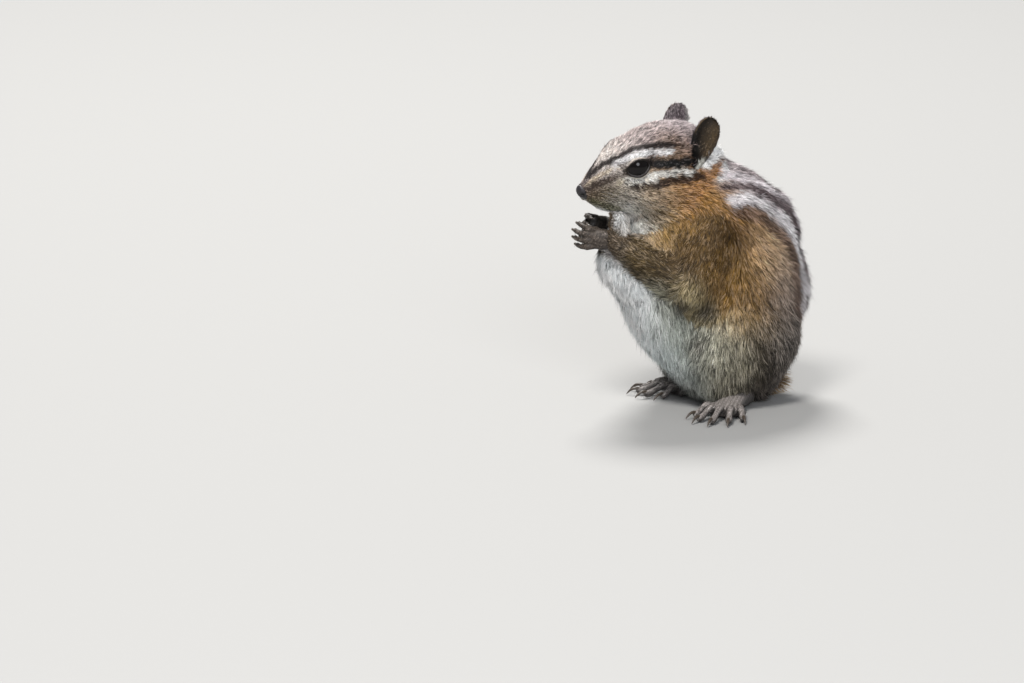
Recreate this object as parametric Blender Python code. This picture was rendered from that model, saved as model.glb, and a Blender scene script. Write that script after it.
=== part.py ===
"""A life-size chipmunk that sits up on its haunches, with both hands at its mouth.

The model is made in millimetres and scaled to metres at the end. +Z is up, the animal faces -X,
and its left side faces -Y. The solids reach out to the tips of the coat. One body of flesh is fused
from rounded forms and then parted by thin gaps. The ears, eyes, nose, forearms, hands, feet and the
tail with its brush of locks are modelled on their own and meet it face to face.
"""

import math
import random

import bmesh
import bpy
import numpy as np
from mathutils import Matrix, Vector
from mathutils.bvhtree import BVHTree

METRES_PER_MM = 0.001
GAP = 0.3
LEFT, RIGHT = -1, 1
SIDE_NAMES = {LEFT: "left", RIGHT: "right"}
UP = Vector((0, 0, 1))

# The body is melted together on a grid of this size, then smoothed and thinned out.
MELT_GRID = 0.75
MELT_SMOOTHING = 18
FLESH_TRIANGLES = 2500

# The head is posed about a pivot in the neck, turned a little to its left.
NECK_PIVOT = Vector((-8.0, 0.0, 64.0))
HEAD_TURN = math.radians(8)

# Head sections from the nose back: forward of the pivot, centre height, half height, half width.
HEAD_SECTIONS = (
    (31.6, -0.9, 1.0, 0.9),
    (30.7, -0.8, 2.5, 2.1),
    (28.7, -0.3, 4.6, 3.5),
    (25.7, 0.5, 6.8, 5.0),
    (22.2, 1.4, 9.0, 6.6),
    (17.5, 2.0, 11.0, 8.6),
    (10.0, 2.8, 12.8, 10.6),
    (2.5, 3.2, 13.0, 11.4),
    (-5.0, 2.2, 11.6, 10.4),
    (-11.0, -1.0, 7.0, 7.0),
)

# Rounded forms on each side of the head: forward, sideways, height, then the radii the same way.
HEAD_FORMS = {
    "cheek": ((9.5, 6.0, -2.6), (9.0, 6.6, 6.6)),
    "jowl": ((2.0, 6.8, -2.0), (8.0, 6.4, 8.0)),
    "lip_pad": ((27.0, 2.2, -2.3), (3.8, 2.6, 2.9)),
    "brow": ((15.5, 5.2, 8.0), (6.0, 3.0, 3.4)),
    "chin": ((23.5, 0.6, -6.0), (5.0, 3.0, 2.8)),
}

# Trunk sections from the seat up: centre X, centre Z, forward tilt, half depth, half width.
TRUNK_SECTIONS = (
    (7.0, -1.5, 0, 8.0, 8.0),
    (6.0, 4.5, 0, 14.0, 13.5),
    (3.6, 14.0, 0, 21.2, 17.5),
    (2.4, 25.0, 0, 27.2, 19.0),
    (0.5, 34.0, 4, 29.6, 19.4),
    (-3.0, 42.0, 11, 28.8, 18.8),
    (-6.8, 50.0, 22, 27.6, 17.4),
    (-10.2, 57.0, 31, 20.2, 15.0),
    (-14.0, 62.0, 44, 15.2, 12.5),
    (-17.0, 65.0, 56, 10.0, 9.0),
)

SHOULDER = (-2.0, 12.6, 50.0)
ELBOW = (-12.0, 16.6, 36.5)
UPPER_ARM_RADII = (9.2, 7.0)
WRISTS = {LEFT: (-31.3, 7.2, 49.6), RIGHT: (-27.4, 5.4, 50.8)}

# Rounded forms on each side of the trunk: centre with its distance from the middle as Y, and radii.
TRUNK_FORMS = {
    "shoulder": ((1.0, 10.3, 49.5), (14.0, 8.8, 13.0)),
    "flank": ((6.0, 11.6, 37.0), (17.0, 9.0, 16.0)),
    "thigh": ((6.5, 13.5, 20.5), (17.0, 9.0, 15.5)),
    "knee": ((-3.0, 15.8, 18.5), (8.0, 6.2, 10.0)),
    "shin": ((0.0, 14.0, 9.5), (8.5, 6.5, 8.0)),
    "haunch": ((11.5, 7.5, 13.0), (9.5, 10.0, 12.0)),
}

# The forearm from behind the elbow to inside the hand: share of its length, radius.
FOREARM_RADII = ((-0.12, 4.2), (0.0, 6.2), (0.25, 6.0), (0.55, 5.0), (0.8, 4.1), (1.0, 3.6), (1.1, 2.6))

# Where the flesh is parted: a point and a normal for each plane, a centre and radii for each limb.
HEAD_CUT = ((-10.0, 0.0, 60.5), (-0.58, 0.0, 0.81))
NECK_CUT = ((-5.0, 0.0, 54.5), (-0.37, 0.0, 0.93))
CHEST_CUT = ((0.0, 0.0, 35.5), (-0.1, 0.0, 1.0))
BELLY_CUT = ((0.0, 0.0, 15.5), (-0.45, 0.0, 0.9))
ARM_REGION = ((-8.0, 19.0, 43.0), (11.0, 9.0, 16.5))
LEG_REGION = ((5.5, 22.0, 17.5), (22.0, 12.0, 19.5))

EYE_RADIUS = 3.8
EYE_PLACE = (16.7, 5.3, 5.8)
EYE_MOUND_RADII = (5.2, 7.2, 6.4)
LID_THICKNESS = 0.6
LID_OPENING = (3.4, 2.45)

NOSE_PLACE = (30.8, 0.0, -0.6)
NOSE_RADII = (1.9, 2.2, 2.0)
NOSTRIL_ENDS = ((31.9, 0.9, -0.5), (29.9, 2.9, -0.9))
NOSTRIL_RADIUS = 0.45

# The mouth runs from under the nose back along each lip: forward, sideways, height.
MOUTH_LINE = (
    (31.0, 0.0, -3.6),
    (29.0, 1.9, -4.6),
    (26.5, 3.6, -5.3),
    (23.8, 5.2, -5.4),
    (21.5, 6.6, -4.6),
)
MOUTH_RADIUS = 0.5

EAR_BASE = (-1.2, 6.9, 4.4)
EAR_LEAN = (-4.6, 2.2, 13.4)
EAR_FACING = (0.2, 0.97, -0.05)
EAR_LENGTH = 14.6
EAR_HALF_WIDTH = 4.1
EAR_DEPTH = 2.6
EAR_WALL = 0.9
EAR_COLUMNS, EAR_LEVELS = 11, 10

# Each hind foot: its heel on the floor, and how far the foot turns outwards.
HEELS = {LEFT: (8.0, -11.0), RIGHT: (10.8, 4.6)}
FOOT_TURNS = {LEFT: math.radians(46), RIGHT: math.radians(14)}

# The sole and the back of the foot: forward of the heel, half width, half height, centre height.
SOLE_SECTIONS = (
    (-1.5, 2.0, 2.0, 2.4),
    (1.0, 2.9, 2.9, 2.6),
    (6.0, 3.0, 2.9, 2.9),
    (11.0, 3.6, 2.6, 2.9),
    (15.5, 4.4, 2.2, 2.6),
    (18.5, 4.4, 1.8, 2.2),
    (20.0, 3.4, 1.3, 1.9),
)
TOE_START = 17.2
TOE_REACHES = (6.6, 9.4, 10.0, 9.2, 6.4)
TOE_SPACING = 1.95
TOE_FAN = math.radians(15.5)
TOE_CLAW = 2.9

# Along a toe and its claw: share of the reach, height above the floor, radius.
TOE_PROFILE = ((0.0, 2.4, 1.2), (0.3, 3.1, 1.25), (0.6, 2.6, 1.15), (0.85, 1.4, 1.15), (1.0, 1.05, 0.85))
TOE_CLAW_PROFILE = ((-0.25, 1.5, 0.55), (0.25, 1.75, 0.5), (0.7, 1.2, 0.38), (1.0, 0.45, 0.2))

PALM_RADII = (4.2, 3.2, 2.0)
FINGER_REACHES = (3.8, 4.7, 4.9, 4.0)
FINGER_SPACING = 1.6
FINGER_CLAW = 1.6

# Along a finger and its claw: share of the reach, how far it stands off the palm's plane, radius.
FINGER_PROFILE = ((-0.1, -0.2, 0.95), (0.35, 0.5, 1.0), (0.75, -0.3, 0.88), (0.98, -2.1, 0.82), (1.0, -3.7, 0.62))
FINGER_CLAW_PROFILE = ((0.0, 0.6, 0.45), (0.25, -0.2, 0.42), (0.3, -1.0, 0.32), (0.1, -1.7, 0.18))

# The tail's outline, as it lies on the floor and away behind: X, Y, centre Z, half width, half height.
TAIL_SECTIONS = (
    (12.5, -3.0, 9.5, 4.5, 4.5),
    (18.5, 8.5, 5.8, 6.0, 5.0),
    (22.0, 19.0, 4.5, 8.0, 4.8),
    (26.0, 31.0, 4.3, 9.3, 4.6),
    (30.5, 43.0, 4.2, 9.8, 4.5),
    (35.5, 55.0, 4.0, 9.4, 4.3),
    (40.5, 67.0, 3.5, 7.6, 3.8),
    (45.0, 77.0, 2.6, 4.6, 2.8),
    (48.0, 84.0, 1.2, 1.2, 1.2),
)
TAIL_BONE = (3.2, 1.0)
TAIL_RINGS = 15

# The brush: locks in rows round the tail, each a share of the tail's length from its root to its tip.
LOCK_ROWS = (-14, 26, 66, 114, 154, 194)
LOCK_RINGS = 8
LOCK_FIRST, LOCK_LAST = 0.17, 0.84
LOCK_LENGTH = 0.19
LOCK_SEED = 7

# Along a lock: share of its length, half width, half thickness.
LOCK_PROFILE = ((0.0, 1.0, 0.6), (0.35, 2.4, 0.8), (0.7, 1.9, 0.65), (1.0, 0.3, 0.25))


def clear_scene():
    for obj in list(bpy.data.objects):
        bpy.data.objects.remove(obj)


def material(name, colour, roughness):
    made = bpy.data.materials.new(name)
    made.use_nodes = True
    shader = made.node_tree.nodes["Principled BSDF"]
    shader.inputs["Base Color"].default_value = (*colour, 1.0)
    shader.inputs["Roughness"].default_value = roughness
    shader.inputs["Metallic"].default_value = 0.0
    made.diffuse_color = (*colour, 1.0)
    return made


def object_from(name, bm):
    bmesh.ops.recalc_face_normals(bm, faces=bm.faces)
    mesh = bpy.data.meshes.new(name)
    bm.to_mesh(mesh)
    bm.free()
    obj = bpy.data.objects.new(name, mesh)
    bpy.context.scene.collection.objects.link(obj)
    return obj


def copy_of(obj, name):
    twin = bpy.data.objects.new(name, obj.data.copy())
    bpy.context.scene.collection.objects.link(twin)
    return twin


def mirrored(point, side):
    return Vector((point[0], side * point[1], point[2]))


def head_point(forward, sideways, height):
    """A point given from the neck pivot along the head's own axes. Sideways is positive to the right."""
    turned = Matrix.Rotation(HEAD_TURN, 3, "Z") @ Vector((-forward, sideways, height))
    return NECK_PIVOT + turned


def head_direction(forward, sideways, height):
    return (head_point(forward, sideways, height) - NECK_PIVOT).normalized()


def head_axes():
    return head_direction(1, 0, 0), head_direction(0, 1, 0), UP


def smooth_rows(rows, steps):
    """Rows of numbers joined by a Catmull-Rom curve, with this many steps between two rows."""
    table = np.array(rows, float)
    padded = np.vstack([2 * table[0] - table[1], table, 2 * table[-1] - table[-2]])
    found = []
    for i in range(1, len(padded) - 2):
        a, b, c, d = padded[i - 1 : i + 3]
        for step in range(steps):
            t = step / steps
            bend = (2 * a - 5 * b + 4 * c - d) * t**2 + (3 * b - a - 3 * c + d) * t**3
            found.append(0.5 * (2 * b + (c - a) * t + bend))
    found.append(table[-1])
    return np.array(found)


def skin_rings(name, rings):
    """A closed body through rings of equally many points, capped at both ends by a fan."""
    bm = bmesh.new()
    loops = [[bm.verts.new(p) for p in ring] for ring in rings]
    count = len(loops[0])
    for near, far in zip(loops, loops[1:]):
        for i in range(count):
            j = (i + 1) % count
            bm.faces.new((near[i], near[j], far[j], far[i]))
    for loop in (loops[0], loops[-1]):
        hub = bm.verts.new(sum((v.co for v in loop), Vector()) / count)
        for i in range(count):
            bm.faces.new((loop[i], loop[(i + 1) % count], hub))
    return object_from(name, bm)


def ellipse(centre, across, along, sides):
    turns = [2 * math.pi * i / sides for i in range(sides)]
    return [centre + across * math.cos(turn) + along * math.sin(turn) for turn in turns]


def tube(name, rows, sides, grow=0.0):
    """A swept body: each row is X, Y, Z, half width and half height, with its width level."""
    centres = [Vector(row[:3]) for row in rows]
    rings = []
    for i, centre in enumerate(centres):
        heading = (centres[min(i + 1, len(centres) - 1)] - centres[max(i - 1, 0)]).normalized()
        across = heading.cross(UP).normalized()
        above = across.cross(heading)
        rings.append(ellipse(centre, across * (rows[i][3] + grow), above * (rows[i][4] + grow), sides))
    if grow:
        first = (centres[0] - centres[1]).normalized() * grow
        last = (centres[-1] - centres[-2]).normalized() * grow
        rings[0] = [p + first for p in rings[0]]
        rings[-1] = [p + last for p in rings[-1]]
    return skin_rings(name, rings)


def ellipsoid(name, centre, radii, axes=None, segments=32, rings=18):
    """An ellipsoid with its radii along the three axes, which are the world's unless others are given."""
    basis = axes or (Vector((1, 0, 0)), Vector((0, 1, 0)), UP)
    frame = Matrix(basis).transposed().to_4x4()
    bm = bmesh.new()
    place = Matrix.Translation(centre) @ frame @ Matrix.Diagonal((*radii, 1.0))
    bmesh.ops.create_uvsphere(bm, u_segments=segments, v_segments=rings, radius=1.0, matrix=place)
    return object_from(name, bm)


def capsule(name, start, end, start_radius, end_radius, sides=20):
    """A limb: a tapered round bar with a rounded end over each joint."""
    heading = (end - start).normalized()
    across = UP.cross(heading).normalized()
    above = heading.cross(across)
    rings = []
    for spot, radius, angles in ((start, start_radius, (-80, -55, -30, 0)), (end, end_radius, (0, 30, 55, 80))):
        for angle in angles:
            centre = spot + heading * radius * math.sin(math.radians(angle))
            reach = radius * math.cos(math.radians(angle))
            rings.append(ellipse(centre, across * reach, above * reach, sides))
    return skin_rings(name, rings)


def half_space(point, normal, size=300.0):
    """A big block on the side of a plane that its normal points to."""
    heading = Vector(normal).normalized()
    second = Vector((0, 1, 0)).cross(heading).normalized()
    frame = Matrix((second, heading.cross(second), heading)).transposed().to_4x4()
    bm = bmesh.new()
    place = Matrix.Translation(Vector(point) + heading * size / 2) @ frame @ Matrix.Scale(size, 4)
    bmesh.ops.create_cube(bm, size=1.0, matrix=place)
    return object_from("block", bm)


def floor_block():
    return half_space((0, 0, 0), (0, 0, -1))


def apply_modifiers(obj):
    graph = bpy.context.evaluated_depsgraph_get()
    old, obj.data = obj.data, bpy.data.meshes.new_from_object(obj.evaluated_get(graph))
    obj.modifiers.clear()
    bpy.data.meshes.remove(old)


def combine(obj, other, operation, keep_other=False):
    """One Boolean on obj, applied, with the manifold solver, because the exact one loses the melted flesh."""
    modifier = obj.modifiers.new("Combine", "BOOLEAN")
    modifier.operation = operation
    modifier.solver = "MANIFOLD"
    modifier.object = other
    apply_modifiers(obj)
    if not keep_other:
        bpy.data.objects.remove(other)


def join_all(first, others):
    """One closed body from a first one and others that overlap it and each other."""
    gathered = bpy.data.collections.new("gathered")
    bpy.context.scene.collection.children.link(gathered)
    for other in others:
        bpy.context.scene.collection.objects.unlink(other)
        gathered.objects.link(other)
    modifier = first.modifiers.new("Join", "BOOLEAN")
    modifier.operation = "UNION"
    modifier.solver = "EXACT"
    modifier.operand_type = "COLLECTION"
    modifier.collection = gathered
    apply_modifiers(first)
    for other in others:
        bpy.data.objects.remove(other)
    bpy.data.collections.remove(gathered)
    keep_largest(first)


def keep_largest(obj):
    """Drops every closed surface but the largest."""
    bm = bmesh.new()
    bm.from_mesh(obj.data)
    unseen = set(bm.verts)
    groups = []
    while unseen:
        front = [unseen.pop()]
        group = set(front)
        while front:
            near = {vert for edge in front.pop().link_edges for vert in edge.verts}
            near &= unseen
            unseen -= near
            group |= near
            front += near
        groups.append(group)
    largest = max(groups, key=len)
    bmesh.ops.delete(bm, geom=[v for v in bm.verts if v not in largest], context="VERTS")
    bm.to_mesh(obj.data)
    bm.free()


def swollen(obj):
    """A copy of a body, grown by the gap that touching nodes keep."""
    grown = copy_of(obj, "swollen")
    swell = grown.modifiers.new("Swell", "DISPLACE")
    swell.mid_level = 0.0
    swell.strength = GAP
    apply_modifiers(grown)
    return grown


def melt(name, bodies):
    """Melts overlapping bodies into one rounded skin."""
    bm = bmesh.new()
    for body in bodies:
        bm.from_mesh(body.data)
        bpy.data.objects.remove(body)
    melted = object_from(name, bm)
    remesh = melted.modifiers.new("Melt", "REMESH")
    remesh.mode = "VOXEL"
    remesh.voxel_size = MELT_GRID
    soften = melted.modifiers.new("Soften", "SMOOTH")
    soften.factor = 0.5
    soften.iterations = MELT_SMOOTHING
    apply_modifiers(melted)
    keep_largest(melted)
    thin = melted.modifiers.new("Thin", "DECIMATE")
    melted.data.calc_loop_triangles()
    thin.ratio = FLESH_TRIANGLES / len(melted.data.loop_triangles)
    apply_modifiers(melted)
    return melted


def trunk_body():
    rings = []
    for x, z, tilt, half_depth, half_width in smooth_rows(TRUNK_SECTIONS, 3):
        lean = math.radians(tilt)
        depth = Vector((math.cos(lean), 0, math.sin(lean))) * half_depth
        rings.append(ellipse(Vector((x, 0, z)), depth, Vector((0, half_width, 0)), 40))
    return skin_rings("trunk", rings)


def head_bodies():
    """The skull, cheeks, brows, lips and chin, with a low mound under each eye."""
    rings = []
    for forward, height, half_height, half_width in smooth_rows(HEAD_SECTIONS, 3):
        centre = head_point(forward, 0, height)
        rings.append(ellipse(centre, head_direction(0, 1, 0) * half_width, UP * half_height, 36))
    bodies = [skin_rings("skull", rings)]
    for side in (LEFT, RIGHT):
        for name, ((forward, sideways, height), radii) in HEAD_FORMS.items():
            bodies.append(ellipsoid(name, head_point(forward, side * sideways, height), radii, head_axes()))
        axes = eye_axes(side)
        bodies.append(ellipsoid("eye_mound", eye_centre(side) - axes[0], EYE_MOUND_RADII, axes))
    return bodies


def limb_bodies(side):
    """The forms of the shoulder, upper arm, thigh and haunch on one side."""
    bodies = [capsule("upper_arm", mirrored(SHOULDER, side), mirrored(ELBOW, side), *UPPER_ARM_RADII)]
    for name, (centre, radii) in TRUNK_FORMS.items():
        bodies.append(ellipsoid(name, mirrored(centre, side), radii))
    return bodies


def forearm_body(side, grow=0.0):
    elbow, wrist = mirrored(ELBOW, side), mirrored(WRISTS[side], side)
    rows = [(*elbow.lerp(wrist, share), radius, radius) for share, radius in FOREARM_RADII]
    return tube("forearm_" + SIDE_NAMES[side], rows, 14, grow)


def palm_axes(side):
    """The hand's own axes: ahead along the fingers, up across them, and out from its back."""
    ahead = Vector((-0.90, -side * 0.30, 0.10)).normalized()
    out = Vector((-0.25, side * 0.95, 0.0))
    out = (out - ahead * out.dot(ahead)).normalized()
    return ahead, ahead.cross(out) * side, out


def palm_body(side, grow=0.0):
    ahead, up, out = palm_axes(side)
    centre = mirrored(WRISTS[side], side) + ahead * 2.6 + up * 0.2
    radii = [radius + grow for radius in PALM_RADII]
    return ellipsoid("hand_" + SIDE_NAMES[side], centre, radii, (ahead, up, out), 12, 8)


def finger_bodies(side):
    """Four fingers, each with a claw, bent towards the other hand as if round a seed."""
    ahead, up, out = palm_axes(side)
    knuckles = mirrored(WRISTS[side], side) + ahead * 4.8
    bodies = []
    for number, reach in enumerate(FINGER_REACHES):
        lift = FINGER_SPACING * (1.5 - number)
        rows = []
        for share, bend, radius in FINGER_PROFILE:
            spot = knuckles + ahead * reach * share + up * lift * (1 + 0.25 * share) + out * bend
            rows.append((*spot, radius, radius))
        bodies.append(tube("finger", rows, 6))
        tip = Vector(rows[-1][:3])
        claw = []
        for share, bend, radius in FINGER_CLAW_PROFILE:
            claw.append((*(tip + ahead * FINGER_CLAW * share + out * bend), radius, radius))
        bodies.append(tube("claw", claw, 4))
    return bodies


def foot_point(side, forward, outward, height):
    """A point of a hind foot from its heel: along the foot, to its outer side, and up."""
    turn = FOOT_TURNS[side]
    ahead = Vector((-math.cos(turn), side * math.sin(turn), 0))
    out = Vector((math.sin(turn), side * math.cos(turn), 0))
    return Vector((*HEELS[side], height)) + ahead * forward + out * outward


def sole_body(side, grow=0.0):
    rows = []
    for forward, half_width, half_height, height in SOLE_SECTIONS:
        rows.append((*foot_point(side, forward, 0, height), half_width, half_height))
    return tube("foot_" + SIDE_NAMES[side], rows, 12, grow)


def toe_bodies(side, grow=0.0):
    """Five arched toes that fan out from the ball of the foot, each with a hooked claw."""
    bodies = []
    for number, reach in enumerate(TOE_REACHES):
        spread = number - 2
        fan = TOE_FAN * spread
        start = TOE_START - 0.55 * abs(spread) ** 1.5
        for name, profile, sides, first, length in (
            ("toe", TOE_PROFILE, 6, 0.0, reach),
            ("claw", TOE_CLAW_PROFILE, 4, reach, TOE_CLAW),
        ):
            rows = []
            for share, height, radius in profile:
                along = first + length * share
                ahead = start + along * math.cos(fan)
                out = TOE_SPACING * spread + along * math.sin(fan)
                rows.append((*foot_point(side, ahead, out, height), radius, radius))
            bodies.append(tube(name, rows, sides, grow))
    return bodies


def ear_axes(side):
    """The ear's own axes: from base to tip, the way the cup opens, and across it to the rear."""
    forward, sideways, height = EAR_LEAN
    along = head_direction(forward, side * sideways, height)
    forward, sideways, height = EAR_FACING
    opens = head_direction(forward, side * sideways, height)
    opens = (opens - along * opens.dot(along)).normalized()
    return along, opens, opens.cross(along) * side


def ear_sheet(side, face):
    """One face of the ear's leaf as rows of points, cupped across and thin at its rim."""
    along, opens, rear = ear_axes(side)
    base = head_point(EAR_BASE[0], side * EAR_BASE[1], EAR_BASE[2])
    sheet = []
    for j in range(EAR_LEVELS):
        v = j / (EAR_LEVELS - 1)
        swell = 0.7 + 0.3 * math.sin(min(v / 0.5, 1) * math.pi / 2)
        closing = math.sqrt(1 - max((v - 0.55) / 0.45, 0) ** 2.4)
        half_width = EAR_HALF_WIDTH * swell * max(closing, 0.2)
        row = []
        for i in range(EAR_COLUMNS):
            u = 2 * i / (EAR_COLUMNS - 1) - 1
            cup = EAR_DEPTH * u * u * (1 - 0.45 * v) - 2.2 * (1 - v) ** 1.5
            rim = max(abs(u) ** 4, v**6)
            wall = EAR_WALL * (1 - 0.45 * rim) * (1 + 0.5 * (1 - v))
            middle = base + along * EAR_LENGTH * v + rear * (half_width * u + 0.5 * (1 - v)) + opens * cup
            row.append(middle + opens * face * wall / 2)
        sheet.append(row)
    return sheet


def ear_body(side):
    """A cupped leaf, closed all round its edge."""
    bm = bmesh.new()
    front, back = [[[bm.verts.new(p) for p in row] for row in ear_sheet(side, face)] for face in (1, -1)]
    top, last = EAR_LEVELS - 1, EAR_COLUMNS - 1
    for sheet in (front, back):
        for j in range(top):
            for i in range(last):
                bm.faces.new((sheet[j][i], sheet[j][i + 1], sheet[j + 1][i + 1]))
                bm.faces.new((sheet[j][i], sheet[j + 1][i + 1], sheet[j + 1][i]))
    edge = [(j, 0) for j in range(top)] + [(top, i) for i in range(last)]
    edge += [(j, last) for j in range(top, 0, -1)] + [(0, i) for i in range(last, 0, -1)]
    for (j, i), (m, n) in zip(edge, edge[1:] + edge[:1]):
        bm.faces.new((front[j][i], front[m][n], back[m][n], back[j][i]))
    return object_from("ear_" + SIDE_NAMES[side], bm)


def eye_centre(side):
    forward, sideways, height = EYE_PLACE
    return head_point(forward, side * sideways, height)


def eye_axes(side):
    """The eye's own axes: outwards, along the slit towards the nose, and up across it."""
    outwards = head_direction(0.32, side * 0.92, 0.16)
    slit = head_direction(0.9, -side * 0.3, -0.32)
    slit = (slit - outwards * slit.dot(outwards)).normalized()
    return outwards, slit, outwards.cross(slit)


def eye_ball(name, side, radius):
    return ellipsoid(name, eye_centre(side), (radius,) * 3, segments=14, rings=9)


def lid_opening(side):
    """The almond hole between the lids, as a short flaring plug."""
    outwards, slit, above = eye_axes(side)
    wide, high = LID_OPENING
    rings = []
    for distance, spread in ((0.8, 0.8), (EYE_RADIUS, 1.0), (EYE_RADIUS + 4, 1.5)):
        centre = eye_centre(side) + outwards * distance
        rings.append(ellipse(centre, slit * wide * spread, above * high * spread, 20))
    return skin_rings("opening", rings)


def mouth_groove(flesh):
    """A thin bar sunk to its middle in the skin along the line of the mouth, round both sides."""
    corners = [v.co for v in flesh.data.vertices]
    surface = BVHTree.FromPolygons(corners, [list(p.vertices) for p in flesh.data.polygons])
    whole = [(forward, -sideways, height) for forward, sideways, height in reversed(MOUTH_LINE[1:])]
    rows = []
    for place in smooth_rows(whole + list(MOUTH_LINE), 2):
        spot = surface.find_nearest(head_point(*place))[0]
        rows.append((*spot, MOUTH_RADIUS, MOUTH_RADIUS * 0.8))
    return tube("groove", rows, 5)


def nostril(side):
    ends = [head_point(forward, side * sideways, height) for forward, sideways, height in NOSTRIL_ENDS]
    rows = [(*ends[0].lerp(ends[1], share), NOSTRIL_RADIUS, NOSTRIL_RADIUS) for share in (0, 0.5, 1)]
    return tube("nostril", rows, 8)


def nose_body(name, grow=0.0):
    radii = [radius + grow for radius in NOSE_RADII]
    return ellipsoid(name, head_point(*NOSE_PLACE), radii, head_axes(), 14, 8)


def tail_at(share):
    """A place along the tail: its outline's X, Y, centre Z, half width and half height, and its core's."""
    table = smooth_rows(TAIL_SECTIONS, 4)
    steps = np.linspace(0, 1, len(table))
    x, y, z, half_width, half_height = (np.interp(share, steps, column) for column in table.T)
    bone = TAIL_BONE[0] + (TAIL_BONE[1] - TAIL_BONE[0]) * share
    core_width, core_height = (bone + half_width) / 2, (bone + half_height) / 2
    core_z = z - half_height + core_height
    return (x, y, z, half_width, half_height), (x, y, core_z, core_width, core_height)


def tail_core():
    rows = [tail_at(share)[1] for share in np.linspace(0, 0.98, TAIL_RINGS)]
    return tube("tail", rows, 14)


def lock_body(start, angle, length):
    """One flat lock: its root is sunk in the core, and it bends out and back to the tail's outline."""
    rows = []
    for share, half_width, half_thickness in LOCK_PROFILE:
        place = min(start + length * share, 1.0)
        outline, core = (np.array(row) for row in tail_at(place))
        blend = share**0.8
        centre = core * (1 - blend) + outline * blend
        inset = 1.2 * (1 - blend) + 0.3 * blend
        ahead = Vector(tail_at(place + 0.02)[0][:2]) - Vector(tail_at(place - 0.02)[0][:2])
        across = Vector((*ahead, 0)).normalized().cross(UP)
        reach = across * (centre[3] - inset) * math.cos(angle) + UP * (centre[4] - inset) * math.sin(angle)
        spot = Vector(centre[:3]) + reach
        spot.z = max(spot.z, half_thickness + 0.2)
        rows.append((*spot, half_width, half_thickness))
    return tube("lock", rows, 4)


def lock_bodies():
    """Rings of overlapping locks from the root of the brush to its tip, every other row set half a ring on."""
    draw = random.Random(LOCK_SEED)
    step = (LOCK_LAST - LOCK_FIRST) / (LOCK_RINGS - 1)
    bodies = []
    for ring in range(LOCK_RINGS):
        for row, degrees in enumerate(LOCK_ROWS):
            start = LOCK_FIRST + step * (ring + 0.5 * (row % 2)) + draw.uniform(-0.01, 0.01)
            angle = math.radians(degrees + draw.uniform(-7, 7))
            bodies.append(lock_body(start, angle, LOCK_LENGTH * draw.uniform(0.85, 1.15)))
    return bodies


def part_off(flesh, name, volume):
    """Cuts what lies in a volume off the flesh as its own node, a gap away from the rest."""
    piece = copy_of(flesh, name)
    combine(piece, volume(0.0), "INTERSECT")
    combine(flesh, volume(GAP), "DIFFERENCE")
    keep_largest(piece)
    keep_largest(flesh)
    return piece


def past_plane(cut):
    """A volume function: all that lies past a plane, which moves back by the growth."""
    point, normal = Vector(cut[0]), Vector(cut[1]).normalized()
    return lambda grow: half_space(point - normal * grow, normal)


def in_region(region, side):
    """A volume function: an ellipsoid on one side of the body."""
    centre, radii = region
    return lambda grow: ellipsoid("region", mirrored(centre, side), [r + grow for r in radii], None, 20, 12)


def build_flesh():
    """The head, trunk and thick of the limbs as one body, with room for what meets it."""
    bodies = [trunk_body(), *head_bodies()]
    for side in (LEFT, RIGHT):
        bodies += limb_bodies(side)
    flesh = melt("rump", bodies)
    combine(flesh, floor_block(), "DIFFERENCE")
    for side in (LEFT, RIGHT):
        for body in (forearm_body(side, GAP), sole_body(side, GAP), *toe_bodies(side, GAP)):
            combine(flesh, body, "DIFFERENCE")
    keep_largest(flesh)
    return flesh


def build_arms():
    nodes = []
    for side in (LEFT, RIGHT):
        forearm = forearm_body(side)
        combine(forearm, palm_body(side, GAP), "DIFFERENCE")
        keep_largest(forearm)
        hand = palm_body(side)
        join_all(hand, finger_bodies(side))
        nodes += [forearm, hand]
    return nodes


def build_feet():
    nodes = []
    for side in (LEFT, RIGHT):
        foot = sole_body(side)
        join_all(foot, toe_bodies(side))
        combine(foot, floor_block(), "DIFFERENCE")
        keep_largest(foot)
        nodes.append(foot)
    return nodes


def build_tail(flesh):
    """The tail with its brush, cut clear of the body that it grows from."""
    tail = tail_core()
    join_all(tail, lock_bodies())
    combine(tail, floor_block(), "DIFFERENCE")
    combine(tail, swollen(flesh), "DIFFERENCE")
    keep_largest(tail)
    return tail


def build_ears(head):
    nodes = []
    grown = swollen(head)
    for side in (LEFT, RIGHT):
        ear = ear_body(side)
        combine(ear, grown, "DIFFERENCE", keep_other=True)
        keep_largest(ear)
        nodes.append(ear)
    bpy.data.objects.remove(grown)
    return nodes


def build_face(head):
    """Opens the lids, the mouth and the bed of the nose in the head, and gives the eyes and the nose."""
    nodes = []
    for side in (LEFT, RIGHT):
        combine(head, eye_ball("lid", side, EYE_RADIUS + GAP + LID_THICKNESS), "UNION")
        combine(head, eye_ball("socket", side, EYE_RADIUS + GAP), "DIFFERENCE")
        combine(head, lid_opening(side), "DIFFERENCE")
        nodes.append(eye_ball("eye_" + SIDE_NAMES[side], side, EYE_RADIUS))
    combine(head, mouth_groove(head), "DIFFERENCE")
    combine(head, nose_body("bed", GAP), "DIFFERENCE")
    keep_largest(head)
    nose = nose_body("nose")
    for side in (LEFT, RIGHT):
        combine(nose, nostril(side), "DIFFERENCE")
    return [*nodes, nose]


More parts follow.
